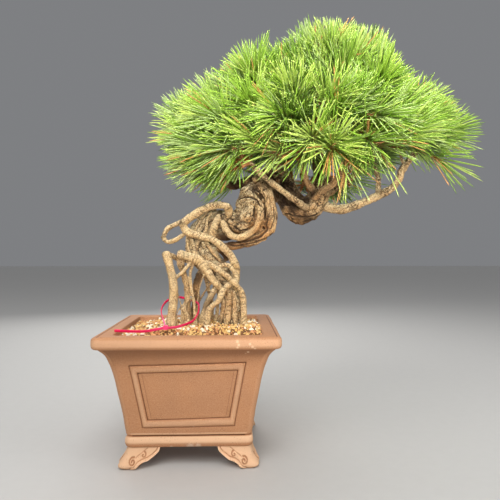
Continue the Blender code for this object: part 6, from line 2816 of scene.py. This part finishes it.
    @staticmethod
    def spikes(rings: Sequence[tuple], heading: np.ndarray, tips: np.ndarray | None) -> Shape:
        """Builds slim three-sided spikes or rods, all at once.

        Args:
            rings: Middles, one a spike, and the radius of each ring along them.
            heading: The way that each one points.
            tips: Where each ends in a point, or None for flat ends.

        Returns:
            Their joined shape.
        """
        side = unit(np.cross(heading, (0.37, 0.11, 0.92)))
        up = np.cross(heading, side)
        turns = (0.4, 2.5, 4.6)
        points = [
            middle + (side * math.cos(turn) + up * math.sin(turn)) * radius
            for middle, radius in rings
            for turn in turns
        ]
        last = 3 * len(rings) - 3
        quads = [[k, k + 1 - 3 * (k % 3 == 2), k + 4 - 3 * (k % 3 == 2), k + 3] for k in range(last)]
        if tips is None:
            ends = [[2, 1, 0], [last, last + 1, last + 2]]
        else:
            points.append(tips)
            ends = [[2, 1, 0]] + [[last + k, last + (k + 1) % 3, last + 3] for k in range(3)]
        base = (np.arange(len(heading)) * len(points))[:, None, None]
        faces = [(base + np.array(quads)).reshape(-1, 4), (base + np.array(ends)).reshape(-1, 3)]
        return Shape(np.stack(points, axis=1).reshape(-1, 3), faces).facing_out()

    def needle_shape(self, rows: dict[str, np.ndarray], chosen: np.ndarray) -> Shape:
        """Builds needles as slim three-sided spikes.

        Args:
            rows: The needles.
            chosen: Which of them.

        Returns:
            Their joined shape.
        """
        picked = {name: values[chosen] for name, values in rows.items()}
        shares = ((0.0, 0.8), (0.45, 1.0), (0.9, 0.85))
        rings = [(self.at(picked, share), self.needle_radius * thick) for share, thick in shares]
        return self.spikes(rings, picked["heading"], self.at(picked, 1.0))

    def sleeve_shape(self, rows: dict[str, np.ndarray]) -> Shape:
        """Builds the short papery sleeve at the foot of each pair of needles.

        Args:
            rows: The needles.

        Returns:
            Their joined shape.
        """
        foot, heading = rows["foot"][rows["first"]], rows["sheath"][rows["first"]]
        rings = [(foot + heading * along, thick) for along, thick in ((-1.2, 0.75), (4.6, 0.95))]
        return self.spikes(rings, heading, None)

    def spindles(self, profile: Sequence[tuple[float, float]], sides: int, seed: int) -> Shape:
        """Builds one turned form along the axis of every shoot, such as its core or its bud.

        Args:
            profile: Pairs of share of the shoot's length and radius.
            sides: Points round it.
            seed: Seed of its unevenness.

        Returns:
            The joined shape.
        """
        random = Random(seed)
        made = []
        for shoot in self.shoots:
            side = unit(np.cross(shoot.axis, (0.21, 0.35, 0.91)))
            up = np.cross(shoot.axis, side)
            rings = []
            for share, radius in profile:
                middle = shoot.place + shoot.axis * shoot.length * share
                turns = np.linspace(0, 2 * np.pi, sides, endpoint=False) + random.uniform(0, 0.4)
                uneven = radius * random.uniform(0.85, 1.15, sides)
                ring = side * (np.cos(turns) * uneven)[:, None] + up * (np.sin(turns) * uneven)[:, None]
                rings.append(middle + ring)
            made.append(skin(np.array(rings)))
        return join(made)

    def make(self) -> None:
        """Grows the crown and dresses it."""
        for number, mass in enumerate(MASSES):
            self.grow(mass, Random(self.seed + number))
        nodes = [mass.name for mass in MASSES]
        rows = self.fit(self.needle_lines(Random(self.seed + 100)))
        LOG.info("%d shoots carry %d needles", len(self.shoots), len(rows["length"]))
        pieces = []
        for number, tint in enumerate(TINTS):
            name, shade, drift = tint.value
            shape = self.needle_shape(rows, rows["tint"] == number)
            pieces.append((name, shape, NeedleFinish(name.replace("_", " "), shade, drift)))
        twigs = join(self.twigs + [self.spindles(((-0.1, 1.3), (0.4, 1.6), (1.0, 1.2)), 6, 3)])
        pieces.append(("twigs", twigs, TWIG_BARK))
        bud = ((0.95, 1.2), (1.05, 1.7), (1.2, 1.6), (1.32, 0.9), (1.38, 0.3))
        bud_finish = NeedleFinish("buds", srgb(204, 166, 128), srgb(228, 204, 176))
        pieces.append(("buds", self.spindles(bud, 6, 4), bud_finish))
        sleeve_finish = NeedleFinish("sleeves", srgb(176, 132, 84), srgb(206, 172, 122))
        pieces.append(("needle_sleeves", self.sleeve_shape(rows), sleeve_finish))
        for name, shape, finish in pieces:
            sharp = 60 if name == "twigs" else None
            hand_over(add_piece(name, shape, finish.make(), sharp=sharp), "needles", nodes)


@dataclass
class Studio:
    """The pale floor, the soft lights and the camera."""

    turn: float = 0.0315
    focal_pixels: float = 504.0
    picture: float = 500.0
    horizon: float = 252.0
    sensor: float = 36.0
    lights: tuple = (
        ("key", (-250, -1150, 1500), 1300, 25.0, (130, 0, 280), 180),
        ("front", (100, -1300, 560), 500, 1.45, (180, 0, 432), 34),
        ("fill", (1300, -600, 800), 900, 6.0, (130, 0, 280), 180),
        ("top", (250, 150, 1700), 1300, 8.0, (130, 0, 280), 180),
        ("back", (-300, 1300, 900), 900, 8.0, (130, 0, 280), 180),
    )

    def make(self) -> None:
        """Sets up the studio."""
        self.lay_floor()
        self.hang_lights()
        self.set_camera()

    def lay_floor(self) -> None:
        """Lays the floor, which isn't part of the object."""
        reach = 9000.0
        corners = np.array([(x, y, 0.0) for x, y in ((-1, -1), (1, -1), (1, 1), (-1, 1))]) * reach
        floor = add_piece("studio_floor", Shape(corners, [np.array([[0, 1, 2, 3]])]), FloorFinish().make())

    def hang_lights(self) -> None:
        """Hangs soft square lights that look at the tree, under a pale sky."""
        for name, place, size, power, aim, spread in self.lights:
            target = Vector(place_in_frame(*aim))
            data = bpy.data.lights.new(name, "AREA")
            data.energy = power
            data.spread = math.radians(spread)
            data.size = size * MM
            light = bpy.data.objects.new(name, data)
            light.location = place_in_frame(*place)
            light.rotation_euler = (target - light.location).to_track_quat("-Z", "Y").to_euler()
            bpy.context.scene.collection.objects.link(light)
        world = bpy.data.worlds.new("studio sky")
        world.use_nodes = True
        background = world.node_tree.nodes["Background"]
        background.inputs["Color"].default_value = srgb(206, 208, 212)
        wiring = Wiring(world.node_tree)
        seen = wiring.add("ShaderNodeLightPath", {}).outputs["Is Camera Ray"]
        strength = wiring.add("ShaderNodeMapRange", {"Value": seen, "To Min": 0.55, "To Max": 0.34})
        world.node_tree.links.new(strength.outputs[0], background.inputs["Strength"])
        bpy.context.scene.world = world

    def set_camera(self) -> None:
        """Puts the camera where the photograph was taken from, as the pot's square rim tells."""
        data = bpy.data.cameras.new("camera")
        data.sensor_width = self.sensor
        data.lens = self.focal_pixels / self.picture * self.sensor
        data.shift_y = (self.horizon - self.picture / 2) / self.picture
        camera = bpy.data.objects.new("camera", data)
        camera.location = place_in_frame(*FRONT_EYE)
        camera.rotation_euler = (math.pi / 2, 0, -self.turn)
        bpy.context.scene.collection.objects.link(camera)
        bpy.context.scene.camera = camera
        bpy.context.scene.view_settings.view_transform = "Standard"


def main() -> None:
    """Builds the bonsai piece by piece."""
    logging.basicConfig(level=logging.INFO, format="%(name)s: %(message)s")
    Pot().make()
    Feet().make()
    Soil().make()
    CableTie().make()
    wood = Wood()
    wood.make()
    Crown(wood).make()
    Studio().make()


if __name__ == "__main__":
    main()
